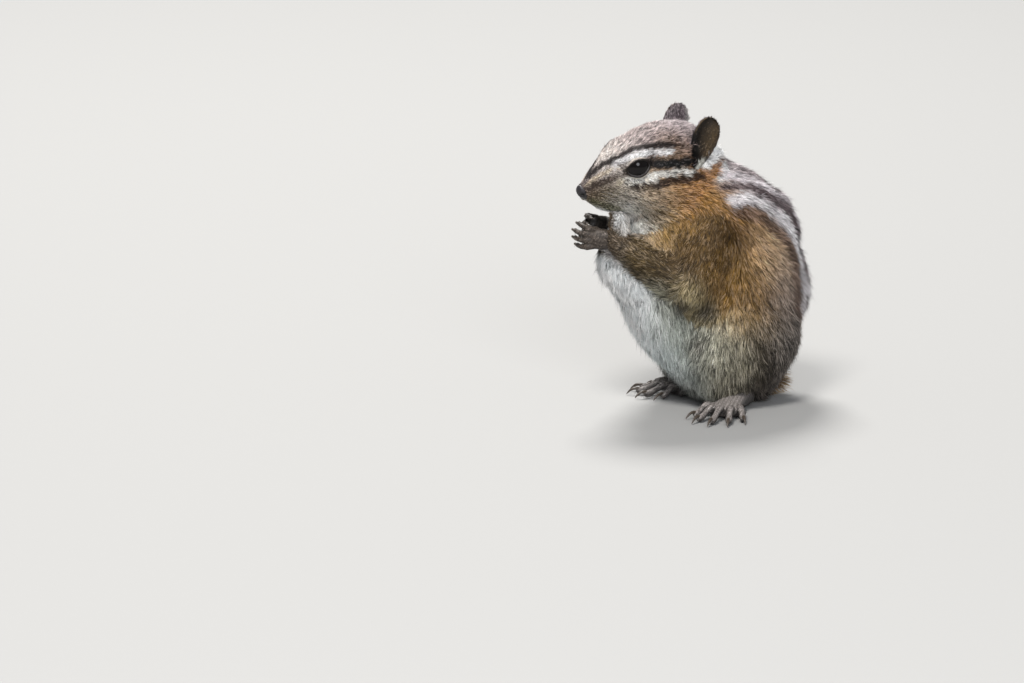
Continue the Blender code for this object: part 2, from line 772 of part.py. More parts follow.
def part_flesh(flesh):
    """Parts the flesh into the head, limbs and lengths of the trunk. What is left is the rump."""
    head = part_off(flesh, "head", past_plane(HEAD_CUT))
    nodes = [head, *build_ears(head), *build_face(head)]
    for side in (LEFT, RIGHT):
        nodes.append(part_off(flesh, "upper_arm_" + SIDE_NAMES[side], in_region(ARM_REGION, side)))
        nodes.append(part_off(flesh, "thigh_" + SIDE_NAMES[side], in_region(LEG_REGION, side)))
    for name, cut in (("neck", NECK_CUT), ("chest", CHEST_CUT), ("belly", BELLY_CUT)):
        nodes.append(part_off(flesh, name, past_plane(cut)))
    return [*nodes, flesh]


def paint(nodes):
    looks = {
        "head": ((0.30, 0.20, 0.12), 0.8),
        "ear": ((0.16, 0.11, 0.08), 0.7),
        "eye": ((0.01, 0.01, 0.012), 0.08),
        "nose": ((0.06, 0.05, 0.055), 0.5),
        "neck": ((0.40, 0.22, 0.09), 0.8),
        "chest": ((0.42, 0.24, 0.10), 0.8),
        "belly": ((0.62, 0.60, 0.54), 0.8),
        "rump": ((0.25, 0.19, 0.13), 0.8),
        "upper": ((0.36, 0.20, 0.09), 0.8),
        "forearm": ((0.25, 0.18, 0.10), 0.8),
        "thigh": ((0.34, 0.22, 0.11), 0.8),
        "hand": ((0.24, 0.19, 0.17), 0.6),
        "foot": ((0.32, 0.25, 0.18), 0.6),
        "tail": ((0.24, 0.15, 0.08), 0.8),
    }
    made = {name: material(name + "_look", *look) for name, look in looks.items()}
    for node in nodes:
        node.data.materials.clear()
        node.data.materials.append(made[node.name.split("_")[0]])


def settle(nodes):
    """Scales to metres and puts the origin at the middle of the base of the whole animal's box."""
    corners = np.array([v.co for node in nodes for v in node.data.vertices])
    low, high = corners.min(axis=0), corners.max(axis=0)
    centre = Vector(((low[0] + high[0]) / 2, (low[1] + high[1]) / 2, low[2]))
    move = Matrix.Scale(METRES_PER_MM, 4) @ Matrix.Translation(-centre)
    for node in nodes:
        node.data.transform(move)
        node.data.shade_smooth()
        node.data.set_sharp_from_angle(angle=math.radians(50))
    return centre


def main():
    clear_scene()
    flesh = build_flesh()
    nodes = [*build_arms(), *build_feet(), build_tail(flesh), *part_flesh(flesh)]
    paint(nodes)
    return settle(nodes)


CENTRE = main()
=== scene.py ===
"""The looks of a life-size chipmunk that sits up on its haunches, with both hands at its mouth.

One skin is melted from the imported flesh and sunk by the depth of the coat. The lids, eyes, nose, ears,
hands, feet and tail are shaped on their own, and tufts of fine mesh hair grow from all of them along the
lie of the coat. Shapes are worked out in millimetres, in the axes that the solids were modelled in, and
go to metres in the frame when they become objects.
"""

import math

import bmesh
import bpy
import numpy as np
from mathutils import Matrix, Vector
from mathutils.bvhtree import BVHTree


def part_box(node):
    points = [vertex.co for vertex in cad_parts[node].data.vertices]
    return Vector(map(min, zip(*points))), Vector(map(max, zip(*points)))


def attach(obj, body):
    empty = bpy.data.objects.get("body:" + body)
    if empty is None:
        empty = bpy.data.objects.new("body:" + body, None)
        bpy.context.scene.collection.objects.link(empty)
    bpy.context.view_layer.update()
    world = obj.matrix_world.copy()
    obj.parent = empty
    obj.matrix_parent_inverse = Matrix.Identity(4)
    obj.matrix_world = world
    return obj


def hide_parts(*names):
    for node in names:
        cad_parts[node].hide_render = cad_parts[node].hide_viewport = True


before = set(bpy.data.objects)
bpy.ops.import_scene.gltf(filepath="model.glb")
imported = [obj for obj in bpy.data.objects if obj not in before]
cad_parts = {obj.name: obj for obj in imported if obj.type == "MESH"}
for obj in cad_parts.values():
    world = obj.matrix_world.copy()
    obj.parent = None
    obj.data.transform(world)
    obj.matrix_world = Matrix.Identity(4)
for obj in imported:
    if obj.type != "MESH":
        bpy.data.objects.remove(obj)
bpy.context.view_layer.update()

MM = 0.001
LEFT, RIGHT = -1, 1
SIDE_NAMES = {LEFT: "left", RIGHT: "right"}

# The point between the eyes in the modelling axes, and the head's turn to its left.
EYES_MIDDLE = np.array((-24.54, -2.32, 69.8))
HEAD_TURN = math.radians(8)
FORWARD = np.array((-math.cos(HEAD_TURN), -math.sin(HEAD_TURN), 0.0))
SIDEWAYS = np.array((-math.sin(HEAD_TURN), math.cos(HEAD_TURN), 0.0))
UP = np.array((0.0, 0.0, 1.0))


def box_middle(node):
    low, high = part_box(node)
    return (np.array(low) + np.array(high)) / 2


OFFSET = (box_middle("eye_left") + box_middle("eye_right")) / 2 / MM - EYES_MIDDLE

# The coat grows in these regions. Each gathers the nodes whose names start with its words.
REGIONS = {
    "head": ("head", "nose", "eye"),
    "neck": ("neck",),
    "chest": ("chest",),
    "belly": ("belly",),
    "rump": ("rump",),
    "upper_arm": ("upper_arm",),
    "forearm": ("forearm", "hand"),
    "thigh": ("thigh", "foot"),
}
REGION_NAMES = tuple(REGIONS)
# Nodes whose names start with these are shaped on their own.
END_WORDS = ("ear", "hand", "foot", "tail")
ARM_REGIONS = [REGION_NAMES.index(name) for name in ("upper_arm", "forearm")]

# For each region: the coat's depth, the hairs' length, their lift in degrees, half width and spread.
COAT = {
    "head": (0.36, 1.45, 18, 0.056, 0.17),
    "neck": (0.60, 2.5, 17, 0.070, 0.24),
    "chest": (0.85, 3.1, 19, 0.080, 0.28),
    "belly": (1.15, 3.9, 20, 0.085, 0.33),
    "rump": (0.85, 3.3, 17, 0.080, 0.29),
    "upper_arm": (0.75, 2.6, 17, 0.075, 0.26),
    "forearm": (0.5, 1.8, 16, 0.068, 0.20),
    "thigh": (0.85, 3.2, 18, 0.080, 0.29),
}

# The grids that the skin, the hands and the feet are melted on.
SKIN_GRID, HAND_GRID, FOOT_GRID = 0.45, 0.24, 0.3
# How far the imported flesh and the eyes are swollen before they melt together.
FLESH_SWELL, EYE_SWELL = 0.25, 0.6
# The lowest that skin, paws and hairs reach above the floor.
SKIN_FLOOR, PAW_FLOOR, HAIR_FLOOR = 0.6, 0.03, 0.05
EYE_RADIUS = 3.8
# Half the opening between the lids, along the slit and across it, in degrees at the eye's centre.
LID_ANGLES = (53.0, 32.0)
SHOULDER = (-2.0, 12.6, 50.0)
ELBOW = (-12.0, 16.6, 36.5)
WRISTS = {LEFT: (-31.3, -7.2, 49.6), RIGHT: (-27.4, 5.4, 50.8)}
HEELS = {LEFT: (8.0, -11.0), RIGHT: (10.8, 4.6)}
FOOT_TURNS = {LEFT: math.radians(46), RIGHT: math.radians(14)}


def tone(red, green, blue):
    """A colour given as display numbers from 0 to 255, made linear."""
    shown = np.array((red, green, blue)) / 255
    return np.where(shown < 0.04045, shown / 12.92, ((shown + 0.055) / 1.055) ** 2.4)


# Dabs of the coat's ground colour on the head: forward, out and up from between the eyes, reach and tone.
# Those at the temple, the muzzle and the chin are darkened further with painted shade.
HEAD_DABS = (
    ((0.0, 0.0, 9.0), 5.0, (134, 120, 118)),
    ((8.0, 0.0, 3.0), 4.2, (214, 203, 196)),
    ((13.5, 0.0, -2.5), 2.8, (64, 54, 54)),
    ((-18.0, 3.0, 8.0), 4.2, (166, 154, 156)),
    # The temple: dark brown, darkened further with painted shade beside the ear.
    ((-14.3, 8.6, 4.2), 4.2, (66, 44, 28)),
    ((14.2, 0.5, -3.2), 1.7, (52, 44, 44)),
    ((-9.0, 8.6, 3.0), 2.8, (92, 74, 56)),
    # The muzzle: ochre with dark specks, darkened further with painted shade.
    ((11.5, 4.0, -6.4), 2.8, (64, 44, 16)),
    ((8.0, 4.6, -8.6), 2.6, (84, 72, 38)),
    ((3.0, 7.0, -7.4), 3.4, (122, 112, 98)),
    ((-3.0, 10.6, -7.6), 3.4, (140, 120, 94)),
    ((-9.0, 12.0, -7.4), 3.4, (148, 110, 62)),
    ((-15.0, 12.0, -6.0), 4.0, (156, 108, 54)),
    # The chin: pale hair drawn grey with painted shade under the muzzle.
    ((9.0, 1.5, -12.6), 2.8, (150, 146, 124)),
    ((2.0, 3.0, -15.5), 4.6, (240, 242, 238)),
    ((-4.0, 8.6, -13.0), 3.6, (126, 102, 58)),
)

# The same on the body: X, distance from the middle and Z.
# The white belly's lower sides, the dark brown by the arm, and the low rear of thigh and rump are darkened
# further with painted shade.
BODY_DABS = (
    ((-25.5, 1.0, 52.0), 4.8, (242, 242, 242)),
    ((-22.0, 9.5, 50.5), 3.0, (148, 120, 76)),
    ((-19.0, 13.0, 51.5), 3.5, (134, 106, 56)),
    ((-32.0, 0.0, 40.0), 8.0, (238, 241, 242)),
    ((-26.0, 4.0, 28.0), 8.0, (238, 243, 245)),
    ((-17.0, 3.0, 13.0), 7.0, (220, 229, 230)),
    # The belly's lower sides: white hair drawn grey with painted shade.
    ((-15.5, 12.5, 26.0), 4.0, (172, 178, 166)),
    ((-12.0, 13.0, 15.0), 5.0, (158, 166, 160)),
    ((-8.0, 6.0, 3.0), 6.0, (140, 142, 134)),
    ((-18.0, 17.0, 33.0), 3.5, (144, 140, 120)),
    ((-17.0, 13.0, 53.0), 4.0, (140, 110, 58)),
    ((-12.0, 13.5, 60.0), 4.5, (152, 110, 54)),
    ((-5.0, 14.5, 60.0), 4.5, (146, 108, 56)),
    ((2.0, 19.0, 54.5), 3.5, (112, 82, 44)),
    # Dark brown, darkened further with painted shade.
    ((-5.0, 20.0, 51.0), 5.0, (64, 46, 20)),
    ((5.0, 18.5, 47.0), 3.5, (154, 118, 70)),
    ((10.5, 18.0, 49.0), 4.0, (184, 152, 114)),
    ((12.0, 19.0, 43.0), 4.5, (168, 142, 110)),
    ((17.0, 17.5, 42.0), 4.0, (150, 132, 116)),
    ((3.0, 20.0, 40.0), 4.5, (132, 100, 52)),
    ((-3.0, 20.0, 36.0), 4.0, (128, 96, 46)),
    ((7.0, 20.5, 33.0), 4.0, (122, 92, 48)),
    ((16.0, 18.5, 33.0), 4.5, (146, 130, 118)),
    ((1.0, 21.0, 28.0), 3.5, (136, 108, 62)),
    # The belly's side by the thigh: white hair drawn grey with painted shade.
    ((-9.0, 18.5, 20.0), 3.5, (166, 170, 158)),
    ((-4.0, 21.0, 22.0), 5.0, (160, 154, 132)),
    ((-5.0, 21.0, 14.0), 5.0, (166, 162, 144)),
    ((1.0, 21.5, 14.0), 3.0, (140, 134, 112)),
    # The thigh's foot and rear and the low rump: their darker hair, darkened further with painted shade.
    ((-1.0, 20.0, 8.5), 3.5, (74, 68, 54)),
    ((5.5, 22.0, 19.0), 4.5, (50, 42, 28)),
    ((9.0, 21.5, 12.0), 5.0, (52, 46, 38)),
    ((9.5, 21.5, 25.0), 3.5, (84, 72, 54)),
    ((16.0, 20.0, 20.0), 5.0, (96, 90, 84)),
    ((22.0, 10.0, 16.0), 7.0, (86, 78, 72)),
    ((26.0, 2.0, 30.0), 7.0, (108, 96, 92)),
    ((26.0, 2.0, 44.0), 7.0, (106, 95, 95)),
    ((16.0, 2.0, 60.0), 7.0, (112, 101, 104)),
    ((4.0, 4.0, 67.0), 5.0, (170, 160, 162)),
    ((1.5, 10.0, 65.0), 2.6, (176, 162, 158)),
)

# The same on the arms, where each would otherwise take the chest's colour.
# The dark tones at the elbow and low on the arm are dark-tipped hair darkened further with painted shade.
ARM_DABS = (
    ((-11.0, 15.0, 55.0), 4.0, (118, 88, 38)),
    ((-20.0, 15.0, 34.5), 3.0, (156, 154, 134)),
    ((-14.0, 22.0, 35.0), 2.6, (146, 134, 100)),
    # Dark brown, darkened further with painted shade.
    ((-4.0, 20.0, 50.5), 4.5, (64, 46, 20)),
    ((-13.0, 16.5, 50.5), 4.0, (92, 70, 34)),
    ((-8.0, 22.0, 44.5), 4.0, (84, 63, 28)),
    # Low on the arm: dark-tipped hair, darkened further with painted shade.
    ((-17.0, 18.0, 43.0), 4.0, (68, 52, 28)),
    ((-22.0, 14.0, 47.0), 3.5, (84, 68, 40)),
    # Low on the arm: dark-tipped hair, darkened further with painted shade.
    ((-23.0, 14.0, 41.0), 3.0, (66, 55, 34)),
    ((-30.0, 7.5, 49.5), 3.0, (76, 64, 50)),
    ((1.0, 20.5, 43.0), 3.5, (134, 102, 52)),
    ((-5.0, 22.0, 38.5), 3.5, (124, 93, 44)),
    ((-14.0, 20.5, 38.0), 2.6, (90, 74, 44)),
    ((-13.0, 21.0, 33.5), 3.5, (140, 128, 96)),
    ((-26.0, 7.0, 45.0), 2.5, (120, 114, 98)),
)

# Stripes: half width, colour, strength, and the line that each follows, in the same measures.
HEAD_STRIPES = {
    "brow line": (1.0, (26, 19, 18), 0.96, (
        (12.4, 0.6, -2.4), (9.7, 1.6, 0.2), (6.3, 3.9, 2.1), (4.0, 5.4, 3.8), (0.5, 6.4, 5.1),
        (-3.5, 6.9, 5.3), (-7.0, 7.6, 5.4), (-9.5, 8.2, 5.0),
    )),
    "side of the snout": (0.6, (190, 172, 150), 0.8, (
        (13.6, 1.9, -4.6), (12.2, 2.2, -3.2), (9.1, 3.8, -1.1), (5.9, 5.4, 0.8),
    )),
    "pale over the eye": (0.7, (238, 235, 236), 0.96, (
        (6.6, 5.2, 0.5), (3.7, 6.9, 2.6), (1.2, 7.6, 3.6), (-1.9, 8.1, 3.8), (-5.1, 8.6, 3.8),
        (-8.5, 9.2, 3.8),
    )),
    "dark ahead of the eye": (0.95, (56, 44, 36), 0.9, (
        (13.1, 2.4, -5.2), (10.1, 4.1, -3.7), (6.9, 5.7, -2.4), (4.6, 7.3, -1.6), (2.5, 8.2, -1.0),
    )),
    "pale corner ahead of the eye": (0.7, (214, 200, 176), 0.7, (
        (6.0, 6.4, -4.4), (4.4, 7.2, -3.9), (3.0, 8.0, -3.6),
    )),
    "white below the eye": (0.95, (208, 206, 200), 0.95, (
        (3.4, 7.9, -3.4), (0.3, 9.0, -3.4), (-2.6, 9.7, -2.7), (-5.6, 10.3, -2.2), (-8.2, 10.7, -1.9),
        (-11.0, 11.0, -1.8), (-13.1, 11.3, -2.1), (-16.0, 11.4, -2.0),
    )),
    "white under the lid": (0.7, (208, 206, 200), 0.85, (
        (4.2, 7.6, -3.9), (2.0, 8.4, -4.3), (-0.3, 9.2, -4.1), (-2.6, 9.9, -3.4),
    )),
    "red brown below the white": (1.05, (32, 19, 12), 0.95, (
        (2.6, 7.9, -5.6), (-1.6, 10.0, -5.4), (-4.4, 10.8, -4.8), (-7.6, 11.0, -4.1),
        (-11.1, 11.4, -3.9), (-14.8, 11.9, -3.9), (-17.0, 11.7, -3.5),
    )),
    # The lip's dark edge, darkened further with painted shade under the muzzle.
    "mouth": (1.3, (72, 70, 42), 0.8, ((12.4, 3.1, -9.4), (9.5, 3.6, -11.2), (5.4, 4.4, -12.4))),
    "white behind the ear": (2.2, (246, 245, 244), 0.95, (
        (-19.8, 10.2, 0.6), (-22.0, 9.4, 2.0), (-24.5, 8.0, 3.4), (-26.0, 6.0, 4.2),
    )),
    "dark behind the eye": (1.35, (15, 12, 10), 1.0, (
        (-1.5, 8.9, 0.9), (-3.4, 9.4, 0.9), (-5.4, 9.8, 0.6), (-7.6, 10.3, 0.5), (-10.2, 10.8, 0.5),
        (-12.9, 11.0, 0.8),
    )),
}
BODY_STRIPES = {
    "white on the nape": (2.4, (246, 245, 244), 0.95, (
        (-4.0, 9.4, 69.4), (-2.5, 8.8, 70.6), (-0.5, 7.6, 72.0), (1.0, 6.0, 72.6),
    )),
    "brown outer edge": (2.4, (96, 74, 60), 0.85, (
        (2.5, 17.0, 57.6), (7.0, 16.6, 56.6), (12.0, 15.0, 53.7), (17.0, 14.4, 48.3), (19.6, 15.6, 42.9),
        (21.2, 15.6, 36.9), (21.4, 14.6, 30.9), (19.5, 13.5, 24.0),
    )),
    "outer white": (2.0, (226, 221, 224), 0.95, (
        (1.8, 15.6, 60.0), (4.5, 14.8, 60.0), (7.0, 13.8, 59.6), (11.6, 12.8, 57.2), (16.8, 10.8, 54.1),
        (20.8, 9.8, 50.0), (23.2, 9.8, 45.2), (24.6, 10.4, 39.8), (25.4, 10.8, 34.0), (25.0, 11.0, 29.9),
        (22.5, 10.5, 22.0), (18.0, 9.0, 13.0),
    )),
    "outer dark": (1.2, (68, 56, 58), 0.88, (
        (0.5, 12.6, 63.4), (4.0, 11.6, 62.8), (9.0, 10.2, 61.9), (14.0, 8.7, 59.6), (19.0, 6.9, 55.0),
        (23.5, 6.5, 48.5), (26.0, 6.7, 41.0), (27.0, 7.0, 34.0), (26.0, 7.0, 26.0), (21.0, 6.5, 14.0),
    )),
    "inner pale": (1.7, (216, 208, 212), 0.9, (
        (1.0, 9.4, 66.0), (5.0, 9.0, 65.0), (9.0, 7.6, 64.0), (14.0, 6.0, 61.0), (19.5, 4.2, 56.3),
        (24.5, 3.9, 49.0), (27.0, 4.0, 41.0), (28.2, 4.2, 34.0), (27.2, 4.2, 26.0), (22.5, 4.0, 14.0),
    )),
    "middle of the back": (1.2, (44, 36, 36), 0.85, (
        (-2.0, 0.0, 69.5), (6.0, 0.0, 66.8), (14.0, 0.0, 62.2), (20.5, 0.0, 56.6), (25.5, 0.0, 49.0),
        (28.4, 0.0, 40.0), (29.6, 0.0, 33.0), (28.5, 0.0, 24.0), (24.0, 0.0, 12.0),
    )),
}

# Where the dark under fur shows between tufts, with painted shade in the hollows between belly, arms and
# thighs: X, distance from the middle, Z and reach.
PARTINGS_AND_PAINTED_SHADE = (((-7.5, 18.6, 29.6), 2.6), ((-9.6, 18.4, 20.5), 2.2), ((-15.0, 20.0, 31.0), 2.0))

# The line of the mouth, measured as the head's dabs are, and how wide and deep the lips are drawn in.
MOUTH_LINE = ((14.4, 0.0, -9.4), (12.3, 1.9, -10.4), (9.8, 3.6, -11.1), (7.1, 5.2, -11.2), (4.8, 6.6, -10.4))
LIP_WIDTH, LIP_DEPTH = 0.45, 0.75

# The middle of the snout's tip, and the angles round it where the bare pad ends, where the skin
# under it begins and ends to sink, and where the coat begins.
NOSE_SPOT = (13.0, 0.0, -6.7)
PAD_END = math.radians(68)
PAD_SUNK = (math.radians(64), math.radians(50))
NOSE_BARE = math.radians(54)

# The line that the jaw's underside keeps above: forward and up at its two ends.
JAW_REAR, JAW_FRONT = (5.3, -13.1), (13.3, -9.3)


def head_place(forward, sideways, height):
    """A point given from between the eyes along the head's own axes. Sideways is positive to the right."""
    return EYES_MIDDLE + FORWARD * forward + SIDEWAYS * sideways + UP * height


# Flesh that the coat fills out, from the nose's tip to the upper back and behind the ears: centre and radii.
FILLS = (
    (head_place(14.1, 0.0, -5.9), (1.7, 1.7, 1.9)),
    (head_place(12.2, 0.0, -5.6), (2.4, 2.2, 2.5)),
    (np.array((-27.0, -0.6, 43.6)), (6.0, 6.5, 5.4)),
    (np.array((17.0, 0.0, 47.0)), (11.0, 11.0, 9.8)),
    (np.array((15.5, -1.0, 51.2)), (10.0, 10.0, 9.2)),
    (head_place(-22.5, -6.3, 0.2), (4.2, 3.8, 3.9)),
    (head_place(-22.5, 6.3, 0.2), (4.2, 3.8, 3.9)),
)
# Where the coat's outline is drawn in: centre, depth and reach.
DENTS = (
    ((-14.0, 6.0, 8.5), 3.4, 6.0),
    ((-26.4, 5.0, 30.0), 2.3, 7.0),
    ((-20.0, 6.0, 19.0), 0.9, 5.0),
    ((25.5, -5.0, 15.3), 1.8, 6.0),
)


def head_measures(points):
    """Forward, out and up of points from between the eyes, with both sides of the head folded together."""
    away = points - EYES_MIDDLE
    return np.stack([away @ FORWARD, np.abs(away @ SIDEWAYS), away[:, 2]], axis=1)


def folded(points):
    return points * (1, 0, 1) + np.abs(points) * (0, 1, 0)


def mirrored(point, side):
    return np.array((point[0], side * abs(point[1]), point[2]), float)


def unit(rows):
    rows = np.asarray(rows, float)
    return rows / np.maximum(np.linalg.norm(rows, axis=-1, keepdims=True), 1e-9)


def smoothstep(low, high, values):
    t = np.clip((values - low) / (high - low), 0, 1)
    return t * t * (3 - 2 * t)


def mix(first, second, share):
    return first + (second - first) * share


def waves(points, size, seed, channels=1):
    """Smooth random numbers about 0 that change over the given size, the same in each run."""
    draw = np.random.default_rng(seed)
    count = 12
    headings = unit(draw.normal(size=(count, 3))) * 2 * math.pi / size * draw.uniform(0.6, 1.6, (count, 1))
    swings = np.sin(points @ headings.T + draw.uniform(0, 2 * math.pi, count))
    return swings @ draw.normal(size=(count, channels)) / math.sqrt(count / 2)


def smooth_rows(rows, steps):
    """Rows of numbers joined by a Catmull-Rom curve, with this many steps between two rows."""
    table = np.array(rows, float)
    padded = np.vstack([2 * table[0] - table[1], table, 2 * table[-1] - table[-2]])
    found = []
    for i in range(1, len(padded) - 2):
        a, b, c, d = padded[i - 1 : i + 3]
        for step in range(steps):
            t = step / steps
            bend = (2 * a - 5 * b + 4 * c - d) * t**2 + (3 * b - a - 3 * c + d) * t**3
            found.append(0.5 * (2 * b + (c - a) * t + bend))
    found.append(table[-1])
    return np.array(found)


def distance_to_line(points, line):
    """How far each point is from a line through a few corners."""
    corners = smooth_rows(line, 3)
    nearest = np.full(len(points), 1e9)
    for start, end in zip(corners, corners[1:]):
        along = end - start
        share = np.clip((points - start) @ along / max(along @ along, 1e-9), 0, 1)
        gap = np.linalg.norm(points - start - share[:, None] * along, axis=1)
        nearest = np.minimum(nearest, gap)
    return nearest


class Surface:
    """A triangle mesh in millimetres, with the numbers that its hairs take from it at each corner."""

    def __init__(self, points, triangles):
        self.points = np.asarray(points, float)
        self.triangles = np.asarray(triangles, np.int64)
        self.fields = {}
        self.find_normals()

    def find_normals(self):
        a, b, c = (self.points[self.triangles[:, i]] for i in range(3))
        faces = np.cross(b - a, c - a)
        total = np.zeros_like(self.points)
        for corner in range(3):
            for axis in range(3):
                index = self.triangles[:, corner]
                total[:, axis] += np.bincount(index, faces[:, axis], len(self.points))
        self.normals = unit(total)
        self.areas = np.linalg.norm(faces, axis=1) / 2

    def edges(self):
        pairs = np.concatenate([self.triangles[:, pair] for pair in ([0, 1], [1, 2], [2, 0])])
        return np.unique(np.sort(pairs, axis=1), axis=0)

    def blurred(self, values, rounds, share=0.5):
        """Values at the corners, evened out with their neighbours this many times."""
        edges = self.edges()
        count = len(self.points)
        degree = np.maximum(np.bincount(edges.ravel(), minlength=count), 1)[:, None]
        values = np.array(values, float).reshape(count, -1)
        for _ in range(rounds):
            total = np.empty_like(values)
            for axis in range(values.shape[1]):
                column = values[:, axis]
                total[:, axis] = np.bincount(edges[:, 0], column[edges[:, 1]], count)
                total[:, axis] += np.bincount(edges[:, 1], column[edges[:, 0]], count)
            values = values + (total / degree - values) * share
        return values

    def tree(self):
        return BVHTree.FromPolygons(self.points.tolist(), self.triangles.tolist())

    def laid_flat(self, ways):
        """A direction at each corner, turned into the surface."""
        return unit(ways - self.normals * (ways * self.normals).sum(axis=1, keepdims=True))

    def give(self, **values):
        """Sets fields, each from one number or from a row for each corner."""
        for name, value in values.items():
            value = np.asarray(value, float)
            self.fields[name] = value if value.ndim else np.full(len(self.points), float(value))


def surface_of(mesh):
    mesh.calc_loop_triangles()
    points = np.empty(len(mesh.vertices) * 3, np.float32)
    mesh.vertices.foreach_get("co", points)
    triangles = np.empty(len(mesh.loop_triangles) * 3, np.int32)
    mesh.loop_triangles.foreach_get("vertices", triangles)
    return Surface(points.reshape(-1, 3), triangles.reshape(-1, 3))


def node_surface(name):
    """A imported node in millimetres, in the modelling axes, with its split corners joined again."""
    bm = bmesh.new()
    bm.from_mesh(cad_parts[name].data)
    bmesh.ops.remove_doubles(bm, verts=bm.verts, dist=1e-6)
    mesh = bpy.data.meshes.new("node")
    bm.to_mesh(mesh)
    bm.free()
    found = surface_of(mesh)
    bpy.data.meshes.remove(mesh)
    return Surface(found.points / MM - OFFSET, found.triangles)


def merged(surfaces):
    """Several surfaces as one, with the fields that they share."""
    starts = np.cumsum([0] + [len(s.points) for s in surfaces])
    points = np.concatenate([s.points for s in surfaces])
    joined = Surface(points, np.concatenate([s.triangles + start for s, start in zip(surfaces, starts)]))
    joined.normals = np.concatenate([s.normals for s in surfaces])
    for name in surfaces[0].fields:
        if all(name in s.fields for s in surfaces):
            joined.fields[name] = np.concatenate([s.fields[name] for s in surfaces])
    return joined


def melted(surfaces, grid):
    """Overlapping closed surfaces as one even skin on a grid of this size."""
    whole = merged(surfaces)
    mesh = bpy.data.meshes.new("melt")
    mesh.from_pydata(whole.points.tolist(), [], whole.triangles.tolist())
    obj = placed("melt", mesh)
    remesh = obj.modifiers.new("Melt", "REMESH")
    remesh.mode = "VOXEL"
    remesh.voxel_size = grid
    graph = bpy.context.evaluated_depsgraph_get()
    result = bpy.data.meshes.new_from_object(obj.evaluated_get(graph))
    bpy.data.objects.remove(obj)
    bpy.data.meshes.remove(mesh)
    found = surface_of(result)
    bpy.data.meshes.remove(result)
    return found


def quad_triangles(rows, columns):
    """Two triangles for each cell of a grid of points whose rows close on themselves."""
    i, j = np.meshgrid(np.arange(rows - 1), np.arange(columns), indexing="ij")
    here, after = i * columns, (j + 1) % columns
    there = here + columns
    cells = (here + j, here + after, there + after, here + j, there + after, there + j)
    return np.stack(cells, axis=-1).reshape(-1, 3)


def turned(points, triangles, way, count=None):
    """A surface whose normals look this way on the whole, or those of its first corners do."""
    surface = Surface(points, triangles)
    if (surface.normals[:count] @ way).sum() < 0:
        surface = Surface(points, surface.triangles[:, ::-1])
    return surface


def tube_surface(rows, sides):
    """A closed swept body: each row is X, Y, Z, half width and half height, with its width level."""
    rows = np.array(rows, float)
    centres = rows[:, :3]
    heading = unit(np.gradient(centres, axis=0))
    across = unit(np.cross(heading, UP))
    above = np.cross(across, heading)
    turns = 2 * math.pi * np.arange(sides) / sides
    wide = across[:, None] * (rows[:, 3, None] * np.cos(turns))[..., None]
    high = above[:, None] * (rows[:, 4, None] * np.sin(turns))[..., None]
    rings = centres[:, None] + wide + high
    points = np.concatenate([rings.reshape(-1, 3), centres[:1], centres[-1:]])
    first = np.arange(sides)
    after = (first + 1) % sides
    last, start = (len(rows) - 1) * sides, np.full(sides, len(rows) * sides)
    caps = np.stack((first, start, after, last + first, last + after, start + 1), axis=-1)
    triangles = np.concatenate([quad_triangles(len(rows), sides), caps.reshape(-1, 3)])
    a, b, c = (points[triangles[:, i]] for i in range(3))
    if np.einsum("ij,ij->i", a, np.cross(b, c)).sum() < 0:
        triangles = triangles[:, ::-1]
    return Surface(points, triangles)


def ball_surface(centre, radii, axes, segments=48, rings=32):
    """An ellipsoid with its radii along the three given axes."""
    bm = bmesh.new()
    bmesh.ops.create_uvsphere(bm, u_segments=segments, v_segments=rings, radius=1.0)
    mesh = bpy.data.meshes.new("ball")
    bm.to_mesh(mesh)
    bm.free()
    found = surface_of(mesh)
    bpy.data.meshes.remove(mesh)
    points = np.asarray(centre) + found.points * radii @ np.array(axes)
    triangles = found.triangles if np.linalg.det(np.array(axes)) > 0 else found.triangles[:, ::-1]
    return Surface(points, triangles)


def region_weights(surface):
    """How much each corner belongs to each region of the coat, with soft edges."""
    points, triangles, owners = [], [], []
    start = 0
    for index, words in enumerate(REGIONS.values()):
        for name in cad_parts:
            if not name.startswith(words):
                continue
            node = node_surface(name)
            points.append(node.points)
            triangles.append(node.triangles + start)
            owners += [index] * len(node.triangles)
            start += len(node.points)
    tree = BVHTree.FromPolygons(np.concatenate(points).tolist(), np.concatenate(triangles).tolist())
    nearest = [owners[tree.find_nearest(point)[2]] for point in surface.points.tolist()]
    weights = np.eye(len(REGIONS))[np.array(nearest)]
    return surface.blurred(weights, 14)


def coat_numbers(weights, column):
    return weights @ np.array([COAT[name][column] for name in REGION_NAMES])


def eye_axes(side):
    """The eye's own axes: outwards, along the slit towards the nose, and up across it."""
    outwards = unit(0.30 * FORWARD + side * 0.92 * SIDEWAYS - 0.02 * UP)
    slit = 0.9 * FORWARD - side * 0.3 * SIDEWAYS - 0.32 * UP
    slit = unit(slit - outwards * (slit @ outwards))
    above = np.cross(outwards, slit)
    return outwards, slit, above * np.sign(above[2])


def eye_centre(side):
    return box_middle("eye_" + SIDE_NAMES[side]) / MM - OFFSET


def lid_measures(points, side):
    """Each point's distance from the eye's centre, turn round it, and how far out, 1 at the lid's edge."""
    outwards, slit, above = eye_axes(side)
    away = points - eye_centre(side)
    radius = np.maximum(np.linalg.norm(away, axis=1), 1e-6)
    x, y, z = away @ slit / radius, away @ above / radius, away @ outwards / radius
    turn = np.arctan2(y, x)
    beyond = np.degrees(np.arccos(np.clip(z, -1, 1))) - opening_angle(turn)
    return radius, turn, 1 + beyond / LID_ANGLES[1]


def opening_angle(turn):
    """Half the opening between the lids, in degrees at the eye's centre, drawn out at both corners."""
    wide, high = LID_ANGLES
    cos, sin = np.abs(np.cos(turn)), np.abs(np.sin(turn))
    return ((cos / wide) ** 1.75 + (sin / high) ** 1.75) ** (-1 / 1.75)


